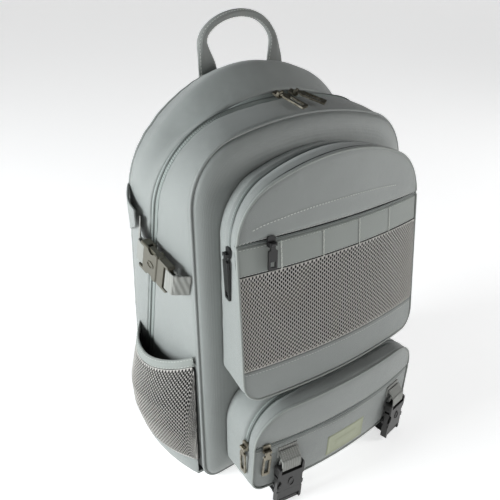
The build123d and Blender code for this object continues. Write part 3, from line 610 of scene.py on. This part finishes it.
class Patch:
    """A piece of a pocket's face, read off the solid model from one side.

    u runs along the first axis and v up, both from 0 to 1 between the piece's own edges.
    """

    def __init__(self, names, along, ahead, columns=72, rows=24):
        self.tree = solid(*names)
        self.along, self.ahead = along, ahead
        boxes = [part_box(n) for n in names]
        low = [min(b[0][k] for b in boxes) for k in range(3)]
        high = [max(b[1][k] for b in boxes) for k in range(3)]
        k = 0 if along == "x" else 1
        a, b = low[k] + 0.3 * MM, high[k] - 0.3 * MM
        g = np.zeros((rows, columns, 3))
        for c in range(columns):
            t = 0.5 - 0.5 * math.cos(math.pi * c / (columns - 1))
            w = a + (b - a) * (0.35 * t + 0.65 * c / (columns - 1))
            heights = [z for z in np.linspace(low[2], high[2], 60) if self._hit(w, z) is not None]
            if not heights:
                heights = [(low[2] + high[2]) / 2]
            bottom = self._edge(w, heights[0], low[2] - 3 * MM)
            top = self._edge(w, heights[-1], high[2] + 3 * MM)
            for r in range(rows):
                z = bottom + (top - bottom) * r / (rows - 1)
                spot = self._hit(w, min(max(z, bottom + 0.05 * MM), top - 0.05 * MM))
                if spot is None:
                    g[r, c] = g[r - 1, c] if r else (w if k == 0 else 0, w if k else 0, z)
                    g[r, c, 2] = z
                else:
                    g[r, c] = spot[:]
        self.grid = g

    def _hit(self, w, z):
        if self.along == "x":
            return shot(self.tree, (w, -RAY_START, z), (0, 1, 0))
        side = -RAY_START if self.ahead == "+x" else RAY_START
        return shot(self.tree, (side, w, z), (-side, 0, 0))

    def _edge(self, w, inside, outside):
        for _ in range(14):
            middle = (inside + outside) / 2
            if self._hit(w, middle) is None:
                outside = middle
            else:
                inside = middle
        return inside

    def at(self, u, v):
        """Point on the face."""
        rows, cols = self.grid.shape[:2]
        x, y = u * (cols - 1), v * (rows - 1)
        c, r = min(int(x), cols - 2), min(int(y), rows - 2)
        fx, fy = x - c, y - r
        g = self.grid
        low = g[r, c] * (1 - fx) + g[r, c + 1] * fx
        high = g[r + 1, c] * (1 - fx) + g[r + 1, c + 1] * fx
        return low * (1 - fy) + high * fy


OUT_FRONT = np.array([0, -1.0, 0])


def pillow(grid, outward, rise, edge=0.10, tuck=1.2 * MM):
    """Cloth that crowns a little between its seams and tucks into them."""
    rows, cols = grid.shape[:2]
    u = np.linspace(0, 1, cols)[None, :]
    v = np.linspace(0, 1, rows)[:, None]
    crown = (np.sin(np.pi * u) ** 0.5) * (np.sin(np.pi * v) ** 0.5)
    near = np.minimum(np.minimum(u, 1 - u) / (edge * 0.4), np.minimum(v, 1 - v) / edge)
    fold = np.clip(1 - near, 0, 1) ** 2
    return grid + outward * ((crown * rise - fold * tuck)[..., None])


def face_piece(name, nodes, finish, slot, rise, wave, seed, thick=1.2 * MM):
    """A sewn cloth piece of a pocket's face."""
    patch = Patch(nodes, "x", "-y", rows=20)
    out = np.broadcast_to(OUT_FRONT, patch.grid.shape)
    g = pillow(patch.grid, out, rise)
    hold = np.ones(g.shape[:2])
    hold[0] = hold[-1] = 0
    g = ripple(g, out, wave, 0.06, seed, (1, 1, 1), hold)
    obj = grid_mesh(name, g)
    sewn(obj, thick, finish, slot, *nodes)
    return g


SHELL_PAIR = ("shell_fabric", "shell_fabric")
flap_grid = face_piece(
    "upper_pocket_flap_cloth", ["upper_pocket_flap"], *SHELL_PAIR, 2.5 * MM, 0.9 * MM, 4
)
hem_grid = face_piece("upper_pocket_hem_cloth", ["upper_pocket_hem"], *SHELL_PAIR, 1.0 * MM, 0.5 * MM, 5)
band_grid = face_piece(
    "webbing_band", ["daisy_chain_band"], "pocket_binding", "webbing", 0.3 * MM, 0.2 * MM, 6, 1.4 * MM
)
upper_face_grid = face_piece(
    "lower_pocket_upper_cloth", ["lower_pocket_upper_face"], *SHELL_PAIR, 2.0 * MM, 0.8 * MM, 7
)
lower_face_grid = face_piece(
    "lower_pocket_lower_cloth", ["lower_pocket_lower_face"], *SHELL_PAIR, 2.0 * MM, 0.8 * MM, 8
)


def net(name, patch, pitch_u, pitch_v, hole, sag=0.0, outward=OUT_FRONT):
    """Mesh fabric: a lattice of threads round staggered lozenge holes."""
    wide = np.linalg.norm(np.diff(patch.grid[patch.grid.shape[0] // 2], axis=0), axis=1).sum()
    mid = patch.grid[:, patch.grid.shape[1] // 2]
    tall = np.linalg.norm(np.diff(mid, axis=0), axis=1).sum()
    nu, nv = int(wide / pitch_u), int(tall / pitch_v)
    rim = [(1, 0), (0.5, 0.5), (0, 1), (-0.5, 0.5), (-1, 0), (-0.5, -0.5), (0, -1), (0.5, -0.5)]
    bore = [(math.cos(a * math.pi / 4), math.sin(a * math.pi / 4)) for a in range(8)]
    verts, faces, flat = [], [], []
    index = {}

    def vertex(u, v):
        u, v = min(max(u, 0), 1), min(max(v, 0), 1)
        key = (round(u * 4e5), round(v * 4e5))
        if key not in index:
            index[key] = len(verts)
            p = patch.at(u, v)
            verts.append(tuple(p + outward * sag * math.sin(math.pi * u) * math.sin(math.pi * v)))
            flat.append((u * wide, v * tall))
        return index[key]

    for j in range(2 * nv + 1):
        for i in range(nu + 1):
            cu = (i + 0.5 * (j % 2)) / nu
            cv = j / (2 * nv)
            if cu > 1 + 0.5 / nu:
                continue
            edge = [vertex(cu + a * 0.5 / nu, cv + b * 0.5 / nv) for a, b in rim]
            inner = [vertex(cu + a * hole * 0.36 / nu, cv + b * hole * 0.5 / nv) for a, b in bore]
            near_rim = cu < 0.4 / nu or cu > 1 - 0.4 / nu or cv < 0.4 / nv or cv > 1 - 0.4 / nv
            for k in range(8):
                q = (k + 1) % 8
                quad = [edge[k], edge[q], inner[q], inner[k]]
                quad = list(dict.fromkeys(quad))
                if len(quad) > 2:
                    faces.append(tuple(quad))
            if near_rim:
                hub = list(dict.fromkeys(inner))
                if len(hub) > 2:
                    faces.append(tuple(hub))
    mesh = bpy.data.meshes.new(name)
    mesh.from_pydata(verts, [], faces)
    layer = mesh.uv_layers.new(name="cloth")
    for loop in mesh.loops:
        layer.data[loop.index].uv = flat[loop.vertex_index]
    mesh.update()
    obj = bpy.data.objects.new(name, mesh)
    bpy.context.scene.collection.objects.link(obj)
    thicken(obj, 0.7 * MM, 0.0)
    mesh.polygons.foreach_set("use_smooth", [True] * len(mesh.polygons))
    return obj


front_mesh_patch = Patch(["front_mesh_panel"], "x", "-y")
front_net = net("front_mesh_cloth", front_mesh_patch, 4.8 * MM, 4.6 * MM, hole=0.78)
sewn(front_net, 0, "pocket_mesh", "pocket_mesh", "front_mesh_panel")

face_piece("pocket_lining", ["upper_pocket_liner"], "lining_fabric", "lining_fabric", 0.0, 0.0, 9, 0.6 * MM)


# ---------------------------------------------------------------- pocket gussets and their zips


def face_edge(start, faces, centre_z):
    """The rim of a pocket's curved face, point for point ahead of a flat outline."""
    tree = solid(*faces)
    out = []
    for p in start:
        toward = Vector((p[0], 0, p[2] - centre_z)).normalized()
        inside = Vector(p) - toward * 1.5 * MM
        spot = shot(tree, (inside.x, -RAY_START, inside.z), (0, 1, 0))
        out.append((p[0], spot.y + 0.4 * MM if spot is not None else np.nan, p[2]))
    out = np.array(out)
    lost = np.isnan(out[:, 1])
    where = np.arange(len(out))
    out[lost, 1] = np.interp(where[lost], where[~lost], out[~lost, 1], period=len(out))
    return out


def pocket_gusset(name, nodes, faces, zip_plane, back_plane, centre_z, zip_end, zip_name, seed):
    """Side wall of a pocket: cloth that tucks into both seams, with a zip let into its upper part."""
    tree = solid(*nodes)
    face_plane = shifted(zip_plane, FACE_TO_ZIP - 3.8 * MM)
    lip = ring(tree, shifted(zip_plane, ZIP_HALF), centre_z)
    rim = face_edge(ring(tree, face_plane, centre_z), faces, centre_z)
    rows = [rim + (lip - rim) * t for t in (0.0, 0.35, 0.7)]
    across_zip = (1.0, 0.86, 0.4, 0.0, -0.4, -0.86, -1.0)
    rows += [ring(tree, shifted(zip_plane, ZIP_HALF * k), centre_z) for k in across_zip]
    rear = shifted(zip_plane, -ZIP_HALF)
    rows += [ring(tree, between(rear, back_plane, t), centre_z) for t in (0.15, 0.35, 0.6, 0.8, 0.93, 1.0)]
    g = np.array(rows)
    middle = np.array([0, 0, centre_z])
    n = normals_of(g, closed=True)
    away = g - middle
    away[..., 1] = 0
    n *= np.sign((n * away).sum(axis=2, keepdims=True))
    upper = np.clip((g[..., 2] - zip_end) / (6 * MM), 0, 1)
    sunk = np.zeros(g.shape[:2])
    sunk[4:9] = 1.0
    cloth_rows = g - n * (sunk * upper * 1.6 * MM)[..., None]
    lips = np.zeros(g.shape[:2])
    lips[3] = lips[9] = 1.0
    cloth_rows += n * (lips * upper * 0.7 * MM)[..., None]
    rest = np.zeros(g.shape[:2])
    rest[0] = rest[-1] = 1.0
    cloth_rows -= n * (rest * 0.8 * MM)[..., None]
    hold = np.ones(g.shape[:2])
    hold[0] = hold[-1] = 0
    hold[3:10] = 0.25
    cloth_rows = ripple(cloth_rows, n, 1.0 * MM, 0.035, seed, (1, 0.5, 1), hold)
    obj = grid_mesh(name + "_cloth", cloth_rows, closed=True, flip=True)
    sewn(obj, 1.2 * MM, "shell_fabric", "shell_fabric", name)
    order = [i for i in range(g.shape[1]) if g[6, i, 2] > zip_end]
    gaps = [k for k in range(1, len(order)) if order[k] != order[k - 1] + 1]
    if gaps:
        order = order[gaps[0]:] + order[:gaps[0]]
    strip = g[3:10][:, order] - n[3:10][:, order] * 0.9 * MM
    tape_piece = grid_mesh(zip_name + "_tape", strip, flip=True)
    sewn(tape_piece, 0.6 * MM, "zip_tape", "zip_tape", zip_name)
    coil(zip_name + "_coil", strip[3], n[6][order], 1.7 * MM)
    for row, label in ((2, "front"), (10, "rear")):
        line = cloth_rows[row][order] + n[row][order] * 0.3 * MM
        stitches(f"{zip_name}_stitches_{label}", line, n[row][order])
    edge = tube(name + "_edge_piping", cloth_rows[0] + n[0] * 0.9 * MM, 1.3 * MM)
    sewn(edge, 0, "pocket_binding", "pocket_binding")


FACE_TO_ZIP = 13 * MM
PANEL_AT_POCKETS = shifted(FRONT_SEAM, 12.2 * MM)
pocket_gusset(
    "upper_pocket_gusset", ["upper_pocket_gusset", "upper_pocket_zip"],
    ["upper_pocket_flap", "daisy_chain_band", "front_mesh_panel", "upper_pocket_hem", "upper_pocket_liner"],
    seam_plane("upper_pocket_zip"),
    PANEL_AT_POCKETS, 0.262, 0.300, "upper_pocket_zip", 11,
)
pocket_gusset(
    "lower_pocket_gusset", ["lower_pocket_gusset", "lower_pocket_zip"],
    ["lower_pocket_upper_face", "lower_pocket_lower_face", "lower_face_zip"],
    (seam_plane("lower_pocket_zip")[0], 0.0),
    PANEL_AT_POCKETS, 0.072, 0.074, "lower_pocket_zip", 12,
)


def face_zip(node):
    """Zip across a pocket's face: two tapes and the coil between them."""
    patch = Patch([node], "x", "-y", rows=5)
    g = patch.grid + OUT_FRONT * 0.1 * MM
    strip = grid_mesh(node + "_tape", g)
    sewn(strip, 0.7 * MM, "zip_tape", "zip_tape", node)
    middle = g[2]
    coil(node + "_coil", middle, np.broadcast_to(OUT_FRONT, middle.shape), 1.0 * MM)


face_zip("mesh_pocket_zip")
face_zip("lower_face_zip")


def face_stitches(name, grid, v, u0=0.02, u1=0.98, lift=0.25 * MM, **kind):
    """Stitch row across a face piece at a share v of its height."""
    rows, cols = grid.shape[:2]
    r = v * (rows - 1)
    k = min(int(r), rows - 2)
    line = grid[k] * (1 - (r - k)) + grid[k + 1] * (r - k)
    a, b = int(u0 * (cols - 1)), int(u1 * (cols - 1)) + 1
    line = line[a:b] + OUT_FRONT * lift
    stitches(name, line, np.broadcast_to(OUT_FRONT, line.shape), **kind)


face_stitches("flap_hem_stitches", flap_grid, 0.045)
face_stitches(
    "flap_panel_stitches", flap_grid, 0.34, 0.09, 0.78, width=0.9, length=2.4, gap=1.5, lift=0.5 * MM
)
face_stitches("band_top_stitches", band_grid, 0.93)
face_stitches("band_bottom_stitches", band_grid, 0.07)
face_stitches("hem_stitches", hem_grid, 0.90)
face_stitches("lower_zip_upper_stitches", upper_face_grid, 0.08)
face_stitches("lower_zip_lower_stitches", lower_face_grid, 0.94)

# bar tacks that divide the band into loops
TACKS = 6
TACK_PITCH = 53 * MM
TACK_FIRST = -86 * MM
band_low, band_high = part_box("daisy_chain_band")
band_tree = solid("daisy_chain_band")
for i in range(TACKS):
    x = TACK_FIRST + TACK_PITCH * i
    if not band_low.x + 10 * MM < x < band_high.x - 10 * MM:
        continue
    line = []
    for t in np.linspace(0.04, 0.96, 22):
        z = band_low.z + (band_high.z - band_low.z) * t
        for dx in (-0.9 * MM, 0.9 * MM):
            spot = shot(band_tree, (x + dx, -RAY_START, z), (0, 1, 0))
            if spot is not None:
                line.append((spot.x, spot.y - 1.0 * MM, spot.z))
    stitches(f"bar_tack_{i + 1}", line, np.broadcast_to(OUT_FRONT, (len(line), 3)), 1.7, 0.1, 1.1)

# ---------------------------------------------------------------- side pockets


# gap between a side net and the dark sheet of painted shade behind it
SHADE_SHEET_BEHIND = 2.4 * MM


def side_patch(nodes, left, rows=24):
    """Face of a side pocket's piece, seen from its own side."""
    return Patch(nodes, "y", "+x" if left else "-x", columns=60, rows=rows)


for side, sign in (("left", -1), ("right", 1)):
    left = sign < 0
    away = np.array([sign, 0.0, 0.0])
    patch = side_patch([f"side_pocket_mesh_{side}"], left)
    side_net = net(
        f"side_pocket_net_{side}", patch, 5.0 * MM, 4.8 * MM, hole=0.86, sag=1.5 * MM, outward=away
    )
    sewn(side_net, 0, "pocket_mesh", "pocket_mesh", f"side_pocket_mesh_{side}")

    def to_body(points):
        """The same points moved sideways onto the body."""
        out = points.copy()
        for r in range(points.shape[0]):
            for c in range(points.shape[1]):
                p = points[r, c]
                spot = shot(BODY, (sign * RAY_START, p[1], max(p[2], 3 * MM)), (-sign, 0, 0))
                out[r, c, 0] = (spot.x if spot is not None else sign * 0.13) - sign * 0.5 * MM
        return out

    def side_sheet(name, node, finish, rise, seed, thick, rows=10, close_below=False):
        """Cloth piece of a side pocket."""
        p = side_patch([node], left, rows=rows)
        out = np.broadcast_to(away, p.grid.shape)
        g = pillow(p.grid, out, rise, tuck=0.6 * MM)
        g = ripple(g, out, 0.6 * MM, 0.03, seed)
        if close_below:
            g = np.concatenate([to_body(g[:1]), g])
        g = np.concatenate([to_body(g[:, :1]), g, to_body(g[:, -1:])], axis=1)
        if left:
            g = g[:, ::-1]
        obj = grid_mesh(name, g)
        return sewn(obj, thick, finish, finish), g

    # painted shade: a dark sheet close behind the net, standing in for the shade inside the pocket
    shade_sheet = patch.grid - away * SHADE_SHEET_BEHIND
    shade_sheet_obj = grid_mesh(f"side_pocket_shade_sheet_{side}", shade_sheet[:, ::-1] if left else shade_sheet)
    sewn(shade_sheet_obj, 0.5 * MM, "lining_fabric", "lining_fabric")

    binding, binding_grid = side_sheet(
        f"side_pocket_binding_{side}", "side_pocket_bindings", "pocket_binding", 1.2 * MM, 13, 1.6 * MM
    )
    foot, _ = side_sheet(
        f"side_pocket_base_{side}", "side_pocket_bases", "shell_fabric", 1.0 * MM, 14, 1.4 * MM, 14, True
    )
    for v, label in ((0.18, "lower"), (0.82, "upper")):
        r = v * (binding_grid.shape[0] - 1)
        k = int(r)
        line = binding_grid[k] * (1 - r + k) + binding_grid[k + 1] * (r - k) + away * 0.3 * MM
        stitches(f"side_binding_stitches_{label}_{side}", line, np.broadcast_to(away, line.shape))
    if left:
        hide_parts("side_pocket_bindings")
        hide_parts("side_pocket_bases")

# ---------------------------------------------------------------- webbing and other small cloth pieces


def mapped(obj, u_axis, v_axis):
    """Gives a mesh a flat map of its size in metres, seen along the third axis."""
    mesh = obj.data
    if "cloth" in mesh.uv_layers:
        mesh.uv_layers.remove(mesh.uv_layers["cloth"])
    layer = mesh.uv_layers.new(name="cloth")
    for loop in mesh.loops:
        co = mesh.vertices[loop.vertex_index].co
        layer.data[loop.index].uv = (co[u_axis], co[v_axis])


def applied(obj):
    """Makes an object's modifiers part of its mesh."""
    depth = bpy.context.evaluated_depsgraph_get()
    mesh = bpy.data.meshes.new_from_object(obj.evaluated_get(depth))
    obj.modifiers.clear()
    obj.data = mesh
    return obj


def woven(name, node, finish, body, u_axis=0, voxel=0.9 * MM, wave=0.5 * MM):
    """Webbing remade as even cloth: soft edges and a slight wander."""
    mesh = NODES[node].data.copy()
    obj = bpy.data.objects.new(name, mesh)
    bpy.context.scene.collection.objects.link(obj)
    mod = obj.modifiers.new("even", "REMESH")
    mod.mode, mod.voxel_size = "VOXEL", voxel
    mod = obj.modifiers.new("round", "SMOOTH")
    mod.factor, mod.iterations = 0.6, 3
    applied(obj)
    mesh = obj.data
    for v in mesh.vertices:
        q = v.co / 0.03
        drift = [noise.noise(q + Vector(o)) for o in ((0, 0, 0), (9, 0, 0), (0, 9, 0))]
        v.co += Vector(drift) * wave
    mesh.polygons.foreach_set("use_smooth", [True] * len(mesh.polygons))
    mapped(obj, u_axis, 2)
    paint(obj, finish)
    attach(obj, body)
    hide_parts(node)
    return obj


woven("side_front_straps", "side_front_webbing", "webbing", "pack", u_axis=1)
for side in ("left", "right"):
    rear = woven(f"side_rear_strap_{side}", f"side_rear_webbing_{side}", "webbing", "pack", u_axis=1)
    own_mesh(rear)
    loop = woven(f"lash_loop_{side}", f"lash_tab_loop_{side}", "webbing", "pack")
    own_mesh(loop)
woven("lash_tab_ends", "lash_tabs", "webbing", "pack")
woven("lash_lower_straps", "lash_straps", "dark_webbing", "pack")
woven("shoulder_adjusters", "shoulder_webbing", "dark_webbing", "pack")
woven("handle_feet", "haul_handle_feet", "webbing", "pack")

# ---------------------------------------------------------------- wings of the side straps

wing_low, wing_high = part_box("side_strap_wings")
WING_ROWS, WING_COLUMNS = 15, 19
WING_SPREAD = (wing_high.z - wing_low.z) / 2
tip_z = wing_low.z + WING_SPREAD * 1.12
for side, sign in (("left", -1), ("right", 1)):
    out = np.array([sign, 0.0, 0.0])
    rows = []
    for v in np.linspace(0, 1, WING_ROWS):
        row = []
        for u in np.linspace(0, 1, WING_COLUMNS):
            y = wing_high.y - 1.5 * MM - (wing_high.y - wing_low.y - 1 * MM) * u
            low = wing_low.z + (tip_z - 10 * MM - wing_low.z) * u
            high = wing_high.z + (tip_z + 9 * MM - wing_high.z) * u
            z = low + (high - low) * v
            spot = shot(BODY, (sign * RAY_START, y, z), (-sign, 0, 0))
            x = spot.x if spot is not None else sign * 0.15
            stand = 0.8 * MM + (9.5 * u ** 1.1 + 4.5 * math.sin(math.pi * u) * (0.4 + 0.6 * v)) * MM
            row.append((x + sign * stand, y, z))
        rows.append(row)
    g = ripple(rows, np.broadcast_to(out, (WING_ROWS, WING_COLUMNS, 3)), 0.8 * MM, 0.03, 21)
    if sign < 0:
        g = g[:, ::-1]
    wing = grid_mesh(f"side_wing_{side}", g, flip=sign > 0)
    sewn(wing, 2.0 * MM, "shell_fabric", "shell_fabric")
    if sign < 0:
        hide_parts("side_strap_wings")
    for k, label in ((1, "lower"), (13, "upper")):
        line = g[k] + out * 0.4 * MM
        stitches(f"wing_stitches_{label}_{side}", line, np.broadcast_to(out, line.shape))

# ---------------------------------------------------------------- haul handle

HANDLE_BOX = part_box("haul_handle")
HANDLE_Y = (HANDLE_BOX[0].y + HANDLE_BOX[1].y) / 2
HANDLE_LINE = [
    (-48, 0), (-50, 9), (-53.5, 20), (-58, 34), (-54, 44), (-44, 52.5), (-32, 58.5), (-18, 62), (-5, 63),
    (9, 61.5), (22, 57), (33, 49), (42, 38), (44, 32), (46, 20), (47.5, 9), (48, 0),
]
HANDLE_HALF = [12.5, 11.6, 8.6, 5.6, 4.6, 4.4, 4.3, 4.3, 4.3, 4.3, 4.3, 4.4, 4.6, 5.8, 9.2, 11.8, 12.5]
handle_foot = HANDLE_BOX[0].z + 0.5 * MM
line = np.array([(x * MM, HANDLE_Y, handle_foot + z * MM) for x, z in HANDLE_LINE])
HANDLE_STEPS = 96
share = np.r_[0, np.cumsum(np.linalg.norm(np.diff(line, axis=0), axis=1))]
goal = np.linspace(0, share[-1], HANDLE_STEPS)
path = np.stack([np.interp(goal, share, line[:, k]) for k in range(3)], 1)
half = np.interp(goal, share, HANDLE_HALF) * MM
for _ in range(7):
    path[1:-1] = path[1:-1] * 0.5 + (path[:-2] + path[2:]) * 0.25
    half[1:-1] = half[1:-1] * 0.5 + (half[:-2] + half[2:]) * 0.25
along = np.gradient(path, axis=0)
along /= np.linalg.norm(along, axis=1, keepdims=True)


def fold_at(i):
    """How far the handle's webbing is folded there: 0 where flat and 1 where doubled."""
    return min(max((12.5 * MM - half[i]) / (6.9 * MM), 0), 1)


rows = []
for i in range(HANDLE_STEPS):
    across = np.cross(along[i], (0, 1, 0))
    folded = fold_at(i)
    deep = (1.1 + 3.2 * folded) * MM
    row = []
    for k in range(28):
        a = 2 * math.pi * k / 28
        c, s = math.cos(a), math.sin(a)
        x = math.copysign(abs(c) ** 0.75, c) * half[i]
        y = math.copysign(abs(s) ** (0.55 + 0.4 * folded), s) * deep
        y += folded * 1.3 * MM * math.exp(-((c - 0.25) / 0.16) ** 2) * (-1 if s < 0 else 0)
        bow = (1 - folded) * 1.0 * MM * (1 - c * c) * math.sin(math.pi * i / HANDLE_STEPS)
        y -= bow * (1 if s < 0 else -1) * 0.3
        row.append(path[i] + across * x + np.array([0, 1, 0]) * y)
    rows.append(row)
grip = grid_mesh("haul_handle_webbing", rows, closed=True)
paint(grip, "handle_cloth")
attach(grip, "haul_handle")
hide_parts("haul_handle")
for edge in (-1, 1):
    side_line = []
    for i in range(HANDLE_STEPS):
        across = np.cross(along[i], (0, 1, 0))
        lift = np.array([0, 1, 0]) * (1.25 + 2.2 * fold_at(i)) * MM
        side_line.append(path[i] + across * half[i] * 0.8 * edge - lift)
    outward = np.broadcast_to(OUT_FRONT, (HANDLE_STEPS, 3))
    side = "left" if edge < 0 else "right"
    stitches(f"handle_stitches_{side}", side_line, outward, body="haul_handle")

# ---------------------------------------------------------------- label patch

label_low, label_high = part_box("label_patch")
label_tree = solid("label_patch")
LABEL_COLUMNS, LABEL_ROWS = 57, 29
LABEL_CORNER = 3.5 * MM
label_x, label_z = (label_low.x + label_high.x) / 2, (label_low.z + label_high.z) / 2
label_rows = []
for v in np.linspace(0, 1, LABEL_ROWS):
    row = []
    for u in np.linspace(0, 1, LABEL_COLUMNS):
        x = label_low.x + (label_high.x - label_low.x) * u
        z = label_low.z + (label_high.z - label_low.z) * v
        dx = max(abs(x - label_x) - (label_high.x - label_low.x) / 2 + LABEL_CORNER, 0)
        dz = max(abs(z - label_z) - (label_high.z - label_low.z) / 2 + LABEL_CORNER, 0)
        far = math.hypot(dx, dz)
        if far > LABEL_CORNER:
            x -= math.copysign(dx - dx * LABEL_CORNER / far, x - label_x)
            z -= math.copysign(dz - dz * LABEL_CORNER / far, z - label_z)
        inner_x = min(max(x, label_low.x + 0.3 * MM), label_high.x - 0.3 * MM)
        inner_z = min(max(z, label_low.z + 0.3 * MM), label_high.z - 0.3 * MM)
        spot = shot(label_tree, (inner_x, -RAY_START, inner_z), (0, 1, 0))
        y = spot.y if spot is not None else label_low.y
        edge = min(u * 62, (1 - u) * 62, v * 30, (1 - v) * 30)
        rim = 0.9 * math.exp(-((edge - 2.4) / 0.9) ** 2)
        bar = 0.5 * (abs(v - 0.5) < 0.12 and 0.22 < u < 0.78)
        row.append((x, y - (rim + bar + 0.6 * min(edge, 1)) * MM, z))
    label_rows.append(row)
label = grid_mesh("label_patch_rubber", label_rows)
sewn(label, 1.6 * MM, "label_rubber", "label_rubber", "label_patch")

# ---------------------------------------------------------------- pads and shoulder straps


def padding(name, node, cap, pressure=3.0, voxel=4 * MM):
    """Foam piece: remeshed, swollen by cloth simulation, capped and subdivided."""
    mesh = NODES[node].data.copy()
    obj = bpy.data.objects.new(name, mesh)
    bpy.context.scene.collection.objects.link(obj)
    mod = obj.modifiers.new("even", "REMESH")
    mod.mode, mod.voxel_size = "VOXEL", voxel
    applied(obj)
    start = [v.co.copy() for v in obj.data.vertices]
    mod = obj.modifiers.new("swell", "CLOTH")
    mod.settings.use_pressure = True
    mod.settings.uniform_pressure_force = pressure
    mod.settings.effector_weights.gravity = 0
    mod.settings.quality = 4
    scene = bpy.context.scene
    for step in range(1, 21):
        scene.frame_set(step)
    applied(obj)
    scene.frame_set(1)
    for v, was in zip(obj.data.vertices, start):
        move = v.co - was
        if move.length > cap:
            v.co = was + move * (cap / move.length)
        v.co.y = max(v.co.y, back_y + 0.2 * MM)
    mod = obj.modifiers.new("fine", "SUBSURF")
    mod.levels = mod.render_levels = 1
    applied(obj)
    obj.data.polygons.foreach_set("use_smooth", [True] * len(obj.data.polygons))
    mapped(obj, 0, 2)
    paint(obj, "pad_mesh")
    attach(obj, "pack")
    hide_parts(node)


padding("back_padding", "back_pads", 3 * MM)
for side in ("left", "right"):
    padding(f"shoulder_strap_{side}_padding", f"shoulder_strap_{side}", 2.5 * MM)

# the sleeve hangs inside, out of sight
sleeve_low, sleeve_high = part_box("laptop_sleeve")
sleeve_rows = []
for z in np.linspace(sleeve_low.z, sleeve_high.z, 20):
    y = (sleeve_low.y + sleeve_high.y) / 2
    row = np.linspace(sleeve_low.x, sleeve_high.x, 24)
    sleeve_rows.append([(x, y + 1.5 * MM * math.sin(9 * x / 0.25 + z * 20), z) for x in row])
sleeve = grid_mesh("laptop_sleeve_cloth", sleeve_rows)
thicken(sleeve, 2 * MM, 0)
paint(sleeve, "lining_fabric")
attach(sleeve, "pack")
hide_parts("laptop_sleeve")

# ---------------------------------------------------------------- the rest of the solid model

for name, node in NODES.items():
    slot = next((s["material_slot"] for s in frame["record"]["subparts"] if s["node"] == name), None)
    if not node.data.materials:
        node.data.materials.append(None)
    for k in range(len(node.data.materials)):
        node.data.materials[k] = FINISHES[slot]
for name in NODES:
    if "buckle" in name or name == "ladder_locks":
        soften(NODES[name], 0.7 * MM, 3)
    elif name.endswith("_pull") or name.endswith("_slider"):
        soften(NODES[name], 0.35 * MM, 2)

# ---------------------------------------------------------------- floor, light and camera


def backdrop():
    """Plain pale floor that curves up far away, like a studio's."""
    profile = [(0.0, 0.0), (3.0, 0.0), (12.0, 0.0), (22.0, 0.3), (27.0, 1.2), (30.0, 4.0), (31.0, 9.0)]
    turns = [2 * math.pi * k / 48 for k in range(48)]
    rows = [[(r * math.cos(a), r * math.sin(a), z) for a in turns] for r, z in profile[1:]]
    middle = [[(0.0, 0.0, 0.0)] * len(turns)]
    floor = grid_mesh("floor", middle + rows, closed=True)
    f = Finish("floor_white", Roughness=0.9, Base_Color=(0.88, 0.88, 0.88))
    f.set("Emission Color", (1, 1, 1))
    f.set("Emission Strength", 0.62)
    floor.data.materials.append(f.material)


def lamp(name, place, target, size, power, tint=(1, 1, 1)):
    """Soft square light."""
    data = bpy.data.lights.new(name, "AREA")
    data.shape, data.size, data.energy, data.color = "SQUARE", size, power, tint
    obj = bpy.data.objects.new(name, data)
    obj.location = place
    obj.rotation_euler = (Vector(target) - Vector(place)).to_track_quat("-Z", "Y").to_euler()
    bpy.context.scene.collection.objects.link(obj)


backdrop()
lamp("left_key", (-1.9, 0.45, 0.62), (0, 0, 0.25), 0.8, 46, (0.94, 0.98, 1.0))
lamp("front_fill", (2.0, -1.3, 0.85), (0, 0, 0.2), 0.8, 24)
world = bpy.data.worlds.new("studio")
world.use_nodes = True
world.node_tree.nodes["Background"].inputs[0].default_value = (0.9, 0.93, 0.95, 1)
world.node_tree.nodes["Background"].inputs[1].default_value = 0.06
bpy.context.scene.world = world
bpy.context.scene.view_settings.view_transform = "Standard"

CAMERA_TURN = -40.0
CAMERA_RISE = 26.7
CAMERA_AWAY = 0.6284
CAMERA_AIM = Vector((-0.0797, -0.05, 0.2707))
CAMERA_ROLL = 3.1
CAMERA_LENS = 43.04

data = bpy.data.cameras.new("camera")
data.lens, data.sensor_width = CAMERA_LENS, 36.0
data.clip_start = 0.01
camera = bpy.data.objects.new("camera", data)
turn, rise = math.radians(CAMERA_TURN), math.radians(CAMERA_RISE)
away = Vector((math.sin(turn) * math.cos(rise), -math.cos(turn) * math.cos(rise), math.sin(rise)))
camera.location = CAMERA_AIM + away * CAMERA_AWAY
look = (-away).to_track_quat("-Z", "Y")
camera.rotation_euler = (look.to_matrix() @ Matrix.Rotation(math.radians(CAMERA_ROLL), 3, "Z")).to_euler()
bpy.context.scene.collection.objects.link(camera)
bpy.context.scene.camera = camera

bpy.context.view_layer.update()
